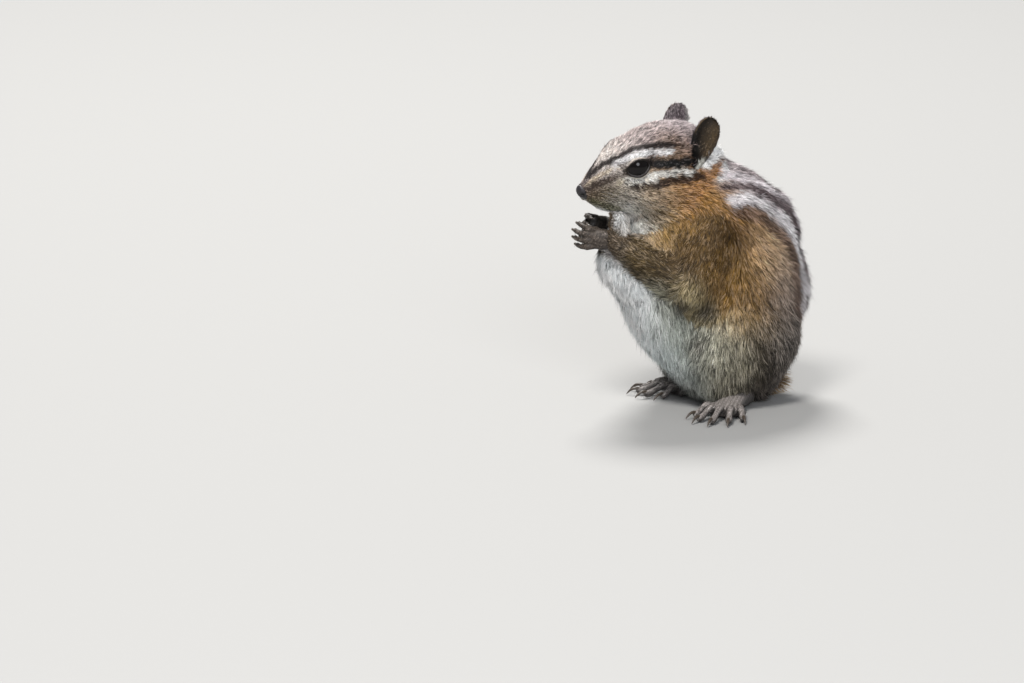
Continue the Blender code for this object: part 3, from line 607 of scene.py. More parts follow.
def flow_over(surface, weights):
    """The lie of the coat, as a direction in the skin at each corner."""
    points = surface.points
    side = np.sign(points[:, 1:2])
    nose = head_place(*NOSE_SPOT) + FORWARD * 1.5
    head = unit(points - nose) + (0, 0, -0.1)
    down = np.tile((0.18, 0.0, -1.0), (len(points), 1))
    back = np.tile((0.55, 0.0, -0.85), (len(points), 1))
    elbow, wrist = mirrored(ELBOW, 1), mirrored(WRISTS[LEFT], 1)
    both_sides = np.hstack([np.ones_like(side), side, np.ones_like(side)])
    arm = unit(elbow - mirrored(SHOULDER, 1)) * both_sides
    hand = unit(wrist - elbow) * both_sides
    behind = smoothstep(-8, 12, points[:, 0])[:, None]
    trunk = mix(down, back, behind)
    leg = np.tile((-0.12, 0.0, -1.0), (len(points), 1))
    ways = {
        "head": unit(head) * 0.45 - FORWARD * 0.6 + (0, 0, -0.12),
        "neck": unit(head) * 0.5 + trunk * 0.6,
        "chest": trunk,
        "belly": trunk,
        "rump": mix(leg, back, behind),
        "upper_arm": unit(arm + 0.5 * trunk),
        "forearm": hand,
        "thigh": mix(leg, down, behind),
    }
    flow = sum(weights[:, i : i + 1] * unit(ways[name]) for i, name in enumerate(REGION_NAMES))
    for side in (LEFT, RIGHT):
        radius, _, share = lid_measures(points, side)
        near = smoothstep(2.6, 1.3, share) * (radius < EYE_RADIUS + 4)
        flow = flow + unit(points - eye_centre(side)) * near[:, None] * 0.9
    return surface.laid_flat(surface.blurred(flow, 10))


def dabbed(places, dabs):
    """The ground colour at each place, with the painted shade that some dabs carry, blended from dabs by how
    near they are.
    """
    total = np.full((len(places), 1), 1e-12)
    colour = np.zeros((len(places), 3))
    for centre, reach, shown in dabs:
        gap = np.linalg.norm(places - np.array(centre), axis=1)[:, None]
        weight = np.exp(-0.5 * (gap / reach) ** 2) + 1e-4 / (1 + gap**2)
        total += weight
        colour += weight * tone(*shown)
    return colour / total


def striped(colour, places, stripes, ragged, depth=1.0):
    """Adds stripes to a ground colour. Depth scales how far in from a side stripe a place counts as."""
    for half_width, shown, strength, line in stripes.values():
        squash = (1, depth if np.min(line, axis=0)[1] > 5 else 1, 1)
        gap = distance_to_line(places * squash, np.array(line) * squash) + ragged * half_width * 0.16
        share = 1 - smoothstep(half_width * 0.7, half_width * 1.35, gap)
        colour = mix(colour, tone(*shown), (share * strength)[:, None])
    return colour


def laid(stripes, places):
    """The stripes with their lines moved onto the surface that these places lie on."""
    moved = {}
    for name, (half_width, shown, strength, line) in stripes.items():
        line = smooth_rows(line, 3)
        gap = ((line[:, None] - places[None]) ** 2).sum(axis=-1)
        line = places[gap.argmin(axis=1)]
        for _ in range(2):
            line[1:-1] = (line[:-2] + 2 * line[1:-1] + line[2:]) / 4
        moved[name] = (half_width, shown, strength, line)
    return moved


# The stripes laid on the coat, filled in when the skin is made.
LAID = {}


def inner_arm(outer):
    """How surely each place lies on the inner side of a forearm, from 0 to 1."""
    found = np.zeros(len(outer))
    for side in (LEFT, RIGHT):
        elbow, wrist = mirrored(ELBOW, side), np.array(WRISTS[side])
        along = wrist - elbow
        share = np.clip((outer - elbow) @ along / (along @ along), 0, 1)
        away = outer - elbow - share[:, None] * along
        close = smoothstep(8.0, 6.0, np.linalg.norm(away, axis=1))
        found = np.maximum(found, smoothstep(-0.4, 1.6, -side * away[:, 1]) * close)
    return found


def markings(outer, weights):
    """The coat's colour where each point of the outline lies, with the stripes of head and back, and painted
    shade where dabs and partings carry it.
    """
    on_head = smoothstep(0.3, 0.7, weights[:, 0])
    on_arm = smoothstep(0.3, 0.7, weights[:, ARM_REGIONS].sum(axis=1))
    ragged = waves(outer, 1.1, 11)[:, 0]
    head_places, body_places = head_measures(outer), folded(outer)
    head = striped(dabbed(head_places, HEAD_DABS), head_places, LAID["head"], ragged, 0.3)
    body = striped(dabbed(body_places, BODY_DABS), body_places, LAID["body"], ragged)
    arm = mix(dabbed(body_places, ARM_DABS), tone(198, 192, 190), (0.85 * inner_arm(outer))[:, None])
    body = mix(body, arm, on_arm[:, None])
    # Dark under fur and painted shade in the hollows between belly, arms and thighs.
    for centre, reach in PARTINGS_AND_PAINTED_SHADE:
        gap = np.linalg.norm(body_places - np.array(centre), axis=1) / reach
        body = mix(body, tone(46, 43, 38), (0.9 * np.exp(-0.5 * gap**2))[:, None])
    colour = mix(body, head, on_head[:, None])
    patchy = np.exp(0.10 * waves(outer, 9.0, 12) + 0.07 * waves(outer, 3.0, 13))
    return np.clip(colour * patchy, 0.004, 0.9)


def body_skin():
    """The skin under the coat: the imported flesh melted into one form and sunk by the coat's depth."""
    flesh = [ball_surface(centre, radii, (FORWARD, SIDEWAYS, UP)) for centre, radii in FILLS]
    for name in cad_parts:
        if name.startswith(END_WORDS):
            continue
        node = node_surface(name)
        node.points = node.points + node.normals * (EYE_SWELL if name.startswith("eye") else FLESH_SWELL)
        flesh.append(node)
    skin = melted(flesh, SKIN_GRID)
    skin.points = skin.blurred(skin.points, 10)
    weights = region_weights(skin)
    head = weights[:, 0]
    skin.points = mix(skin.blurred(skin.points, 60), skin.points, smoothstep(0.1, 0.7, head)[:, None])
    skin.find_normals()
    for centre, deep, reach in DENTS:
        gap = np.linalg.norm(skin.points - centre, axis=1) / reach
        skin.points = skin.points - skin.normals * (deep * np.exp(-0.5 * gap**2))[:, None]
    skin.find_normals()
    outer = skin.points.copy()
    measures = head_measures(outer)
    LAID["head"] = laid(HEAD_STRIPES, measures[head > 0.5])
    LAID["body"] = laid(BODY_STRIPES, folded(outer[head < 0.5]))
    fine = fineness(measures) * head + (1 - head)
    depth = coat_numbers(weights, 0) * fine
    skin.points = skin.points - skin.normals * skin.blurred(depth, 10)
    tuck_jaw(skin)
    skin.points, cleared = clear_throat(skin.points)
    outer = clear_throat(outer)[0]
    cleared = np.clip(skin.blurred(cleared, 2) * 1.4, 0, 1)
    weights = mix(weights, np.eye(len(REGION_NAMES))[REGION_NAMES.index("neck")], cleared)
    sink_mouth(skin)
    sink_sockets(skin)
    skin.points[:, 2] = np.maximum(skin.points[:, 2], SKIN_FLOOR)
    skin.points = skin.blurred(skin.points, 2)
    hollow_ears(skin)
    skin.find_normals()
    skin.fields["outer"] = outer
    dress(skin, weights, outer)
    return skin


def fineness(measures):
    """How short the face's hair is beside the crown's: shortest at the nose, longest on the cheeks."""
    forward, _, up = measures.T
    short = 1 - 0.52 * smoothstep(1.0, 13.0, forward)
    cheeks = 0.45 * smoothstep(-3.0, -9.0, up) * smoothstep(6.0, -4.0, forward)
    behind = 0.35 * smoothstep(-6.0, -18.0, forward)
    return short + cheeks + behind


def sink_mouth(skin):
    """Draws the lips in along the line of the mouth."""
    gap = distance_to_line(head_measures(skin.points), MOUTH_LINE)
    skin.fields["lips"] = np.exp(-0.5 * (gap / LIP_WIDTH) ** 2)
    skin.points = skin.points - skin.normals * (LIP_DEPTH * skin.fields["lips"])[:, None]


def tuck_jaw(skin):
    """Lifts the chin to the line of the jaw, which slants up to the nose."""
    forward, _, up = head_measures(skin.points).T
    slope = (JAW_FRONT[1] - JAW_REAR[1]) / (JAW_FRONT[0] - JAW_REAR[0])
    line = JAW_REAR[1] + (forward - JAW_REAR[0]) * slope
    share = 0.88 * smoothstep(1.5, 7.0, forward) * (up > -19)
    skin.points = skin.points + UP * (np.maximum(line - up, 0) * share)[:, None]


THROAT_CENTRE, THROAT_RADII = (-20.5, -1.2), (8.5, 7.0)
# The top of the forearms as they lead away from the wrists: X and height.
ARM_TOP = ((-36.0, 52.4), (-33.5, 51.6), (-31.0, 50.8), (-28.0, 50.0), (-25.0, 51.5), (-22.0, 55.0))


def clear_throat(points):
    """Points between wrists and jaw drawn back onto a round throat, and how surely each belongs to it."""
    x, _, z = points.T
    line = np.array(ARM_TOP)
    share = smoothstep(-0.5, 1.5, z - np.interp(x, line[:, 0], line[:, 1]))
    share = share * smoothstep(57.8, 56.2, z) * smoothstep(-21.5, -24.0, x)
    away = points[:, :2] - THROAT_CENTRE
    reach = np.maximum(np.linalg.norm(away / THROAT_RADII, axis=1), 1e-6)
    moved = points.copy()
    moved[:, :2] -= away * (share * np.maximum(1 - 1 / reach, 0))[:, None]
    return moved, share


def sink_sockets(skin):
    """Keeps the skin under the eyeballs and the lids."""
    for side in (LEFT, RIGHT):
        radius, _, share = lid_measures(skin.points, side)
        limit = EYE_RADIUS - 0.7 + np.maximum(share - 1.1, 0) * 2.4
        near = (radius < EYE_RADIUS + 4) & (share < 2.4)
        shrink = np.where(near, np.minimum(limit / radius, 1), 1)[:, None]
        skin.points = eye_centre(side) + (skin.points - eye_centre(side)) * shrink


def dress(surface, weights, outer):
    """Gives a surface what its hairs need: colour, lie, length, lift, width, spread and density."""
    head = weights[:, 0]
    measures = head_measures(outer)
    fine = fineness(measures) * head + (1 - head)
    fields = surface.fields
    flow = flow_over(surface, weights)
    length = coat_numbers(weights, 1) * np.clip(fine, 0.3, 2) * np.exp(0.12 * waves(outer, 4.0, 21)[:, 0])
    eye_gap = nearest_of([eye_centre(side) for side in (LEFT, RIGHT)], surface.points)
    shown = mix(surface.points, outer, smoothstep(EYE_RADIUS + 2.5, EYE_RADIUS + 4.5, eye_gap)[:, None])
    colour = markings(shown + flow * (0.5 * length)[:, None], weights)
    length = length * mix(0.5, 1.0, smoothstep(2.0, 10.0, nearest_of(WRISTS.values(), outer)))
    density = 1 + 1.2 * head
    for side in (LEFT, RIGHT):
        radius, _, share = lid_measures(surface.points, side)
        close = radius < EYE_RADIUS + 5
        density = np.where(close & (share < 1.35), 0, density)
        length = np.where(close, length * mix(0.5, 1.0, smoothstep(1.3, 2.6, share)), length)
    density = np.where(surface.points[:, 2] < 0.9, 0.25, density)
    bare = fields.get("bare", np.zeros(len(outer)))
    density = density * np.where(bare > 0.97, 0, 1 + bare)
    surface.give(
        flow=flow,
        colour=colour,
        length=length * (1 - 0.66 * bare),
        lift=np.radians(coat_numbers(weights, 2) + 3 * waves(outer, 5.0, 22)[:, 0]),
        width=coat_numbers(weights, 3) * np.clip(fine, 0.62, 1.1),
        spread=coat_numbers(weights, 4) * np.clip(fine, 0.55, 1.1),
        density=np.where(nose_angle(surface.points) < NOSE_BARE, 0, density),
        grizzle=grizzle(colour, weights),
        region=weights,
    )


def nearest_of(places, points):
    """How far each point is from the nearest of a few places."""
    return np.min([np.linalg.norm(points - place, axis=1) for place in places], axis=0)


# How strongly pale tips and dark hairs are mixed into each region's ground colour.
GRIZZLE = {
    "head": 1.15,
    "neck": 0.7,
    "chest": 0.75,
    "belly": 0.35,
    "rump": 0.9,
    "upper_arm": 0.75,
    "forearm": 0.8,
    "thigh": 0.8,
}


def grizzle(colour, weights):
    """The mixing at each corner: little of it in the dark stripes and in the white."""
    amount = weights @ np.array([GRIZZLE[name] for name in REGION_NAMES])
    level = colour.mean(axis=1)
    return amount * (0.2 + 0.8 * smoothstep(0.015, 0.08, level)) * (1 - 0.75 * smoothstep(0.42, 0.7, level))


# The lid from its edge on the ball outwards: share of the opening's angle, and height over the ball.
LID_PROFILE = (
    (0.92, -0.25), (0.97, 0.0), (1.0, 0.18), (1.06, 0.30), (1.14, 0.34), (1.26, 0.32), (1.42, 0.24),
    (1.6, 0.10), (1.8, -0.10), (2.0, -0.5),
)


def lid_surface(side, skin_tree):
    """The lids of one eye: a rounded rim against the ball that spreads out under the coat around it."""
    outwards, slit, above = eye_axes(side)
    centre = eye_centre(side)
    turns = 2 * math.pi * np.arange(72) / 72
    fold = 0.10 * np.sin(turns) ** 2
    points = []
    for row, (share, rise) in enumerate(LID_PROFILE):
        angle = np.radians(opening_angle(turns) + (share - 1) * LID_ANGLES[1])
        round_it = slit * np.cos(turns)[:, None] + above * np.sin(turns)[:, None]
        heading = unit(outwards * np.cos(angle)[:, None] + round_it * np.sin(angle)[:, None])
        radius = np.full(len(turns), EYE_RADIUS + rise) + fold * (2 < row < 6)
        blend = smoothstep(1.15, 1.8, share)
        for i, way in enumerate(heading):
            hit = skin_tree.ray_cast(centre, way, 12)
            if hit[0] is not None and blend > 0:
                radius[i] = mix(radius[i], max(hit[3] - 0.05 + rise * 0.4, EYE_RADIUS - 0.4), blend)
        points.append(centre + heading * radius[:, None])
    return turned(np.concatenate(points), quad_triangles(len(LID_PROFILE), len(turns)), outwards)


# The ears: where each base stands from between the eyes, the way from base to tip, how far each cup
# turns forward, the length, the reach to the front and rear edges, and the mesh across and up.
EAR_BASES = {LEFT: (-16.0, 8.8, -1.6), RIGHT: (-17.6, 8.2, -1.2)}
EAR_LEAN = (-5.4, 0.6, 13.8)
EAR_OPENING = {LEFT: 0.25, RIGHT: -0.15}
EAR_LENGTH = 14.8
EAR_FRONT, EAR_REAR = 3.5, 3.8
EAR_COLUMNS, EAR_LEVELS = 33, 41


def ear_base(side):
    forward, out, up = EAR_BASES[side]
    return head_place(forward, side * out, up)


def ear_axes(side):
    """The ear's own axes: from base to tip, the way the cup opens, and across it to the rear."""
    forward, sideways, height = EAR_LEAN
    along = unit(forward * FORWARD + side * sideways * SIDEWAYS + height * UP)
    opens = side * SIDEWAYS + EAR_OPENING[side] * FORWARD - 0.03 * UP
    opens = unit(opens - along * (opens @ along))
    return along, opens, np.cross(opens, along) * side


def ear_width(v):
    """The ear's width for each share of its height: narrow at the base and round at the tip."""
    swell = 0.42 + 0.58 * np.sin(np.clip(v / 0.62, 0, 1) * math.pi / 2)
    closing = np.sqrt(1 - np.clip((v - 0.62) / 0.38, 0, 1) ** 2.2)
    return swell * np.maximum(closing, 0.03)


def ear_cup(u, v):
    """How far the middle of the ear's leaf stands off: a cup that is deep at the base."""
    return 2.3 * u * u * (1 - 0.55 * v) - 2.2 * np.clip(1 - v, 0, 2) ** 1.5


def ear_hollow(u, v):
    """The deep hollow low in the cup, below the ear's leaf."""
    return -1.2 * np.exp(-(((u + 0.2) / 0.5) ** 2) - ((v - 0.16) / 0.14) ** 2)


def ear_measures(points, side):
    """Across from front, -1, to rear, 1, up from base to tip, and out of the cup, for points near an ear."""
    along, opens, rear = ear_axes(side)
    away = points - ear_base(side)
    v = away @ along / EAR_LENGTH
    middle, skew = (EAR_REAR + EAR_FRONT) / 2, (EAR_REAR - EAR_FRONT) / 2
    reach = (away @ rear) / ear_width(np.clip(v, 0, 0.96))
    u = (-middle + np.sqrt(np.maximum(middle**2 + 4 * skew * reach, 0.01))) / (2 * skew)
    return u, v, away @ opens


def hollow_ears(skin):
    """Clears the skin out of the ears' cups. The field tells how bare each corner becomes for it."""
    bare = np.zeros(len(skin.points))
    for side in (LEFT, RIGHT):
        u, v, out = ear_measures(skin.points, side)
        over = np.maximum(np.abs(u) - 0.96, 0) * 5.0 + np.maximum(-v, 0) * EAR_LENGTH * 1.6
        limit = ear_cup(np.clip(u, -1, 1), np.clip(v, 0, 1)) + 1.6 * ear_hollow(u, v) - 0.5 + over
        near = (out > limit) & (out < limit + 7) & (np.abs(u) < 1.6) & (v > -0.25) & (v < 1.05)
        skin.points = skin.points - ear_axes(side)[1] * np.where(near, out - limit, 0)[:, None]
        close = np.maximum(np.abs(u) - 1, 0) * 3.4 + np.maximum(-v - 0.02, 0) * EAR_LENGTH
        close = np.where((out > 0.3) & (out < 8) & (v < 1.1), close, 9)
        bare = np.maximum(bare, smoothstep(3.2, 0.2, close))
    skin.fields["bare"] = bare


def ear_surface(side):
    """A thin cupped ear with a rolled rim, a fold inside its front edge and a deep hollow at its base."""
    along, opens, rear = ear_axes(side)
    base = ear_base(side)
    levels = 1 - (1 - np.linspace(0, 1, EAR_LEVELS)) ** 1.7
    v, u = np.meshgrid(levels, np.linspace(-1, 1, EAR_COLUMNS), indexing="ij")
    across = ((EAR_REAR + EAR_FRONT) / 2 * u + (EAR_REAR - EAR_FRONT) / 2 * u * u) * ear_width(v)
    hollow = ear_hollow(u, v)
    fold = 0.35 * np.exp(-(((u + 0.62) / 0.12) ** 2)) * smoothstep(0.15, 0.35, v) * smoothstep(0.95, 0.6, v)
    wall = 0.5 * (1 - 0.5 * np.maximum(np.abs(u) ** 4, v**6)) * (1 + 0.6 * (1 - v))
    middle = (
        base
        + along * (EAR_LENGTH * v)[..., None]
        + rear * across[..., None]
        + opens * ear_cup(u, v)[..., None]
    )
    front = middle + opens * (wall / 2 + hollow + fold)[..., None]
    back = middle - opens * (wall / 2 + 1.2 * (hollow < -0.2) * -hollow)[..., None]
    count = EAR_COLUMNS * EAR_LEVELS
    index = np.arange(count).reshape(EAR_LEVELS, EAR_COLUMNS)
    a, b, c, d = index[:-1, :-1], index[:-1, 1:], index[1:, 1:], index[1:, :-1]
    face = np.concatenate([np.stack([a, b, c], -1).reshape(-1, 3), np.stack([a, c, d], -1).reshape(-1, 3)])
    rim = np.concatenate([index[:, 0], index[-1, 1:], index[-2::-1, -1], index[0, -2:0:-1]])
    after = np.roll(rim, -1)
    strip = (np.stack([rim, rim + count, after + count], -1), np.stack([rim, after + count, after], -1))
    triangles = np.concatenate([face, face[:, ::-1] + count, *strip])
    points = np.concatenate([front.reshape(-1, 3), back.reshape(-1, 3)])
    surface = turned(points, triangles, opens, count)
    dress_ear(surface, side, np.tile(u.ravel(), 2), np.tile(v.ravel(), 2), np.repeat((1, 0), count))
    return surface


def dress_ear(surface, side, u, v, inside):
    """Dark olive brown inside with the hollow low in the cup painted black for its shade, pale hair low at
    the rear, and short grey hair behind.
    """
    along, _, rear = ear_axes(side)
    rim = np.maximum(np.abs(u), v)
    inner = mix(tone(28, 21, 14), tone(60, 47, 29), smoothstep(-0.6, 0.7, u)[:, None])
    edge = smoothstep(-0.80, -0.94, u) * smoothstep(0.25, 0.5, v)
    inner = mix(inner, tone(160, 138, 110), (0.8 * edge)[:, None])
    # Painted shade: the hollow low in the cup goes near black, with fewer hairs.
    black = smoothstep(0.60, 0.26, v + 0.3 * u)
    inner = mix(inner, tone(12, 9, 8), black[:, None])
    inner = mix(inner, tone(34, 26, 20), (smoothstep(0.80, 0.97, rim) * 0.7 * (1 - edge))[:, None])
    tuft = smoothstep(0.45, 0.8, u - 0.3 * v) * smoothstep(0.26, 0.08, v)
    inner = mix(inner, tone(176, 176, 170), tuft[:, None])
    outer = mix(tone(100, 90, 94), tone(176, 170, 168), smoothstep(0.35, 0.95, u)[:, None])
    outer = mix(outer, tone(62, 54, 58), (smoothstep(0.3, 0.8, v) * smoothstep(0.6, -0.1, u))[:, None] * 0.8)
    dense = 0.9 + 0.4 * smoothstep(0.6, 0.95, rim) + 1.3 * tuft
    surface.give(
        colour=mix(outer, inner, inside[:, None]) * np.exp(0.08 * waves(surface.points, 2.0, 31)),
        flow=surface.laid_flat(along + 0.25 * rear * np.sign(u)[:, None]),
        length=mix(1.3, 0.8 + 0.4 * tuft, inside) * mix(1.3, 0.55, v),
        lift=np.radians(mix(16, 14 + 8 * tuft, inside)),
        width=0.044,
        spread=0.2,
        density=mix(1.0, dense * (1 - 0.8 * black), inside),
        grizzle=mix(0.9, 0.35, inside),
    )


# A finger from the knuckles and a toe from the ball of the foot: share of the reach, stand-off, radius.
FINGER_PROFILE = (
    (-0.25, -0.4, 1.0), (0.05, 0.25, 1.02), (0.32, 0.6, 0.98), (0.42, 0.55, 1.02), (0.62, 0.2, 0.84),
    (0.78, -0.45, 0.86), (0.93, -1.5, 0.78), (1.0, -2.6, 0.80), (1.01, -3.5, 0.70), (0.99, -3.95, 0.42),
)
FINGER_CLAW = (
    (0.0, 0.7, 0.42), (0.22, 0.15, 0.42), (0.42, -0.5, 0.36), (0.45, -1.1, 0.26), (0.32, -1.75, 0.12),
    (0.22, -2.0, 0.03),
)
FINGER_REACHES = (3.8, 4.7, 4.9, 4.0)
FINGER_SPACING = 1.6
TOE_PROFILE = (
    (-0.35, 2.2, 1.2), (0.0, 2.6, 1.2), (0.22, 3.2, 1.18), (0.38, 3.15, 1.22), (0.55, 2.6, 1.0),
    (0.7, 1.9, 1.0), (0.84, 1.35, 1.15), (0.96, 1.2, 1.05), (1.03, 1.15, 0.6),
)
TOE_CLAW = (
    (-0.3, 1.7, 0.5), (0.1, 1.95, 0.5), (0.45, 1.75, 0.42), (0.75, 1.2, 0.3), (0.95, 0.6, 0.16),
    (1.02, 0.3, 0.05),
)
TOE_REACHES = (6.6, 9.4, 10.0, 9.2, 6.4)
TOE_SPACING = 1.95
TOE_FAN = math.radians(15.5)
TOE_START = 17.2
TOE_CLAW_LENGTH = 2.9
# The sole from heel to toes: forward, half width, half height and height.
SOLE_SECTIONS = (
    (-1.8, 1.4, 1.2, 2.3), (-0.8, 2.3, 2.0, 2.4), (1.0, 2.8, 2.6, 2.7), (6.0, 2.9, 2.6, 3.0),
    (11.0, 3.4, 2.3, 2.9), (15.0, 4.3, 2.0, 2.6), (17.6, 4.5, 1.7, 2.3), (19.6, 3.2, 1.2, 2.0),
)
# The wrist inside the arm's coat: share of the way to the elbow, and radius.
WRIST_STUB = ((0.3, 2.6), (0.15, 2.5), (0.0, 2.3), (-0.08, 2.0))


def palm_axes(side):
    """The hand's own axes: ahead along the fingers, up across them, and out from its back."""
    ahead = unit(np.array((-0.90, -side * 0.30, 0.10)))
    out = np.array((-0.25, side * 0.95, 0.0))
    out = unit(out - ahead * (out @ ahead))
    return ahead, np.cross(ahead, out) * side, out


def hand_parts(side):
    """The closed forms of one hand and of its claws."""
    ahead, up, out = palm_axes(side)
    wrist = np.array(WRISTS[side])
    elbow = mirrored(ELBOW, side)
    forms = [ball_surface(wrist + ahead * 2.6 + up * 0.2, (3.9, 3.0, 1.75), (ahead, up, out))]
    forms.append(tube_surface([(*mix(wrist, elbow, share), size, size) for share, size in WRIST_STUB], 16))
    thumb = wrist + ahead * 1.6 + up * 2.4 - out * 1.0
    forms.append(ball_surface(thumb, (1.5, 1.0, 0.9), (ahead, up, out)))
    claws = []
    knuckles = wrist + ahead * 4.8
    for number, reach in enumerate(FINGER_REACHES):
        lift = FINGER_SPACING * (1.5 - number)
        rows = []
        for share, bend, radius in FINGER_PROFILE:
            spot = knuckles + ahead * reach * share + up * lift * (1 + 0.25 * share) + out * bend
            rows.append((*spot, radius * 0.9, radius * 0.9))
        forms.append(tube_surface(smooth_rows(rows, 2), 14))
        tip = np.array(rows[-2][:3])
        claw = [(*(tip + ahead * 1.7 * share + out * bend), size, size) for share, bend, size in FINGER_CLAW]
        claws.append(tube_surface(smooth_rows(claw, 2), 8))
    return forms, claws


def foot_place(side, forward, outward, height):
    turn = FOOT_TURNS[side]
    ahead = np.array((-math.cos(turn), side * math.sin(turn), 0))
    out = np.array((math.sin(turn), side * math.cos(turn), 0))
    return np.array((*HEELS[side], height)) + ahead * forward + out * outward


def foot_parts(side):
    """The closed forms of one hind foot and of its claws."""
    sole = []
    for forward, half_width, half_height, height in SOLE_SECTIONS:
        sole.append((*foot_place(side, forward, 0, height), half_width, half_height))
    forms, claws = [tube_surface(smooth_rows(sole, 3), 24)], []
    for number, reach in enumerate(TOE_REACHES):
        spread = number - 2
        fan = TOE_FAN * spread
        start = TOE_START - 0.55 * abs(spread) ** 1.5
        toe, claw = (TOE_PROFILE, 0.0, reach, 14, forms), (TOE_CLAW, reach, TOE_CLAW_LENGTH, 8, claws)
        for profile, first, length, sides, found in (toe, claw):
            rows = []
            for share, height, radius in profile:
                along = first + length * share
                outward = TOE_SPACING * spread + along * math.sin(fan)
                spot = foot_place(side, start + along * math.cos(fan), outward, height)
                rows.append((*spot, radius * 0.92, radius * 0.92))
            found.append(tube_surface(smooth_rows(rows, 2), sides))
        pad = foot_place(side, start - 1.5 + reach * 0.1, TOE_SPACING * spread * 1.05, 1.1)
        forms.append(ball_surface(pad, (1.6, 1.2, 1.05), np.eye(3), 20, 14))
    return forms, claws


def limb_end(forms, grid, shown, way, length, facing):
    """The bare-looking skin of a hand or a foot, with very short hair on its back. Its colour is painted
    lighter where it faces the given way and darker away from it: painted light and shade.
    """
    surface = melted(forms, grid)
    surface.points = surface.blurred(surface.points, 5)
    surface.points[:, 2] = np.maximum(surface.points[:, 2], PAW_FLOOR)
    surface.find_normals()
    points = surface.points
    creases = 0.5 + 0.3 * np.tanh(2 * waves(points, 0.8, 41)[:, 0])
    colour = mix(tone(*shown[0]), tone(*shown[1]), creases[:, None])
    above = smoothstep(-0.1, 0.9, surface.normals @ unit(facing))
    surface.give(
        # Painted light and shade: lighter where the skin faces the given way, darker away from it.
        colour=colour * mix(0.4, 1.15, above)[:, None],
        flow=surface.laid_flat(np.tile(way, (len(points), 1)) + (0, 0, -0.1)),
        length=length,
        lift=math.radians(9),
        width=0.042,
        spread=0.18,
        density=0.10 + 0.9 * above,
        grizzle=0.7,
    )
    return surface


def tail_path():
    """The tail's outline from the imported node: X, Y, centre Z, half width and half height along it."""
    points = node_surface("tail").points
    stations = np.linspace(points[:, 1].min() + 1, points[:, 1].max() - 1, 17)
    rows = []
    for middle in stations:
        near = points[np.abs(points[:, 1] - middle) < 4]
        low, high = near.min(axis=0), near.max(axis=0)
        centre, half = (low + high) / 2, (high - low) / 2
        rows.append((centre[0], middle, centre[2], half[0], half[2]))
    rows = np.array(rows)
    heading = rows[-1, :3] - rows[-2, :3]
    end = np.append(rows[-1, :3] + heading / heading[1] * 1.0, (0.5, 0.5))
    return np.vstack([rows[0] - (2.5, 6, -1.0, 0, 0), rows, end])


def tail_surface():
    """The tail under its brush, with hairs that lean out and back, banded dark and tipped with buff."""
    path = tail_path()
    share = np.linspace(0, 1, len(path))
    core = path.copy()
    bone = mix(3.0, 0.9, share)
    core[:, 3] = mix(bone, path[:, 3], 0.28)
    core[:, 4] = np.minimum(mix(bone, path[:, 4], 0.25), path[:, 4] * 0.8)
    core[:, 2] = np.maximum(path[:, 2] * 0.9, core[:, 4] + 0.3)
    core[-1, 3:] = 0.4
    surface = tube_surface(smooth_rows(core, 6), 28)
    points = surface.points

    def at_points(column, places=points[:, 1]):
        return np.interp(places, path[:, 1], column)

    heading = unit(np.gradient(path[:, :3], axis=0))
    ahead = unit(np.stack([at_points(column) for column in heading.T], axis=1))
    side = np.abs(surface.normals @ np.cross(ahead.mean(axis=0), UP))
    top = smoothstep(-0.3, 0.8, surface.normals[:, 2])
    ground = mix(tone(112, 78, 50), tone(84, 70, 58), top[:, None])
    left = path[-1, 1] - points[:, 1]
    run = np.clip(left * 0.62, 0.6, 7.5)
    wide, high = (at_points(path[:, i], points[:, 1] + run) - at_points(core[:, i]) for i in (3, 4))
    rise = np.hypot(wide * side, high * np.sqrt(np.clip(1 - side**2, 0, 1)))
    rise = np.maximum(rise * mix(0.4, 0.78, smoothstep(2, 22, left)), 0.4) / 0.9
    surface.give(
        colour=ground * np.exp(0.1 * waves(points, 6.0, 51)),
        flow=surface.laid_flat(ahead),
        length=np.hypot(rise, run),
        lift=np.arctan2(rise, run),
        width=0.10,
        spread=0.5,
        density=mix(0.5, 1.0, smoothstep(-0.9, -0.2, surface.normals[:, 2])),
        grizzle=0.5,
    )
    return surface


def placed(name, data):
    """A new object of the scene that shows this data."""
    obj = bpy.data.objects.new(name, data)
    bpy.context.scene.collection.objects.link(obj)
    return obj


def to_object(name, surface, look, colour=None):
    """A surface as a smooth object of the frame, with its colours as an attribute."""
    mesh = bpy.data.meshes.new(name)
    corners = surface.triangles.ravel()
    fill_mesh(mesh, (surface.points + OFFSET) * MM, corners, np.arange(0, len(corners), 3))
    mesh.shade_smooth()
    if colour is not None:
        write_colours(mesh, colour)
    mesh.materials.append(look)
    return placed(name, mesh)


def fill_mesh(mesh, points, corners, starts):
    mesh.vertices.add(len(points))
    mesh.vertices.foreach_set("co", points.astype(np.float32).ravel())
    mesh.loops.add(len(corners))
    mesh.loops.foreach_set("vertex_index", corners.astype(np.int32))
    mesh.polygons.add(len(starts))
    mesh.polygons.foreach_set("loop_start", starts.astype(np.int32))
    mesh.update(calc_edges=True)


def write_colours(mesh, colour):
    layer = mesh.color_attributes.new(name="Coat", type="FLOAT_COLOR", domain="POINT")
    rgba = np.ones((len(colour), 4), np.float32)
    rgba[:, :3] = np.clip(colour, 0, 1)
    layer.data.foreach_set("color", rgba.ravel())


# The room round each patch of the laid out roots, in millimetres.
CHART_GAP = 0.3


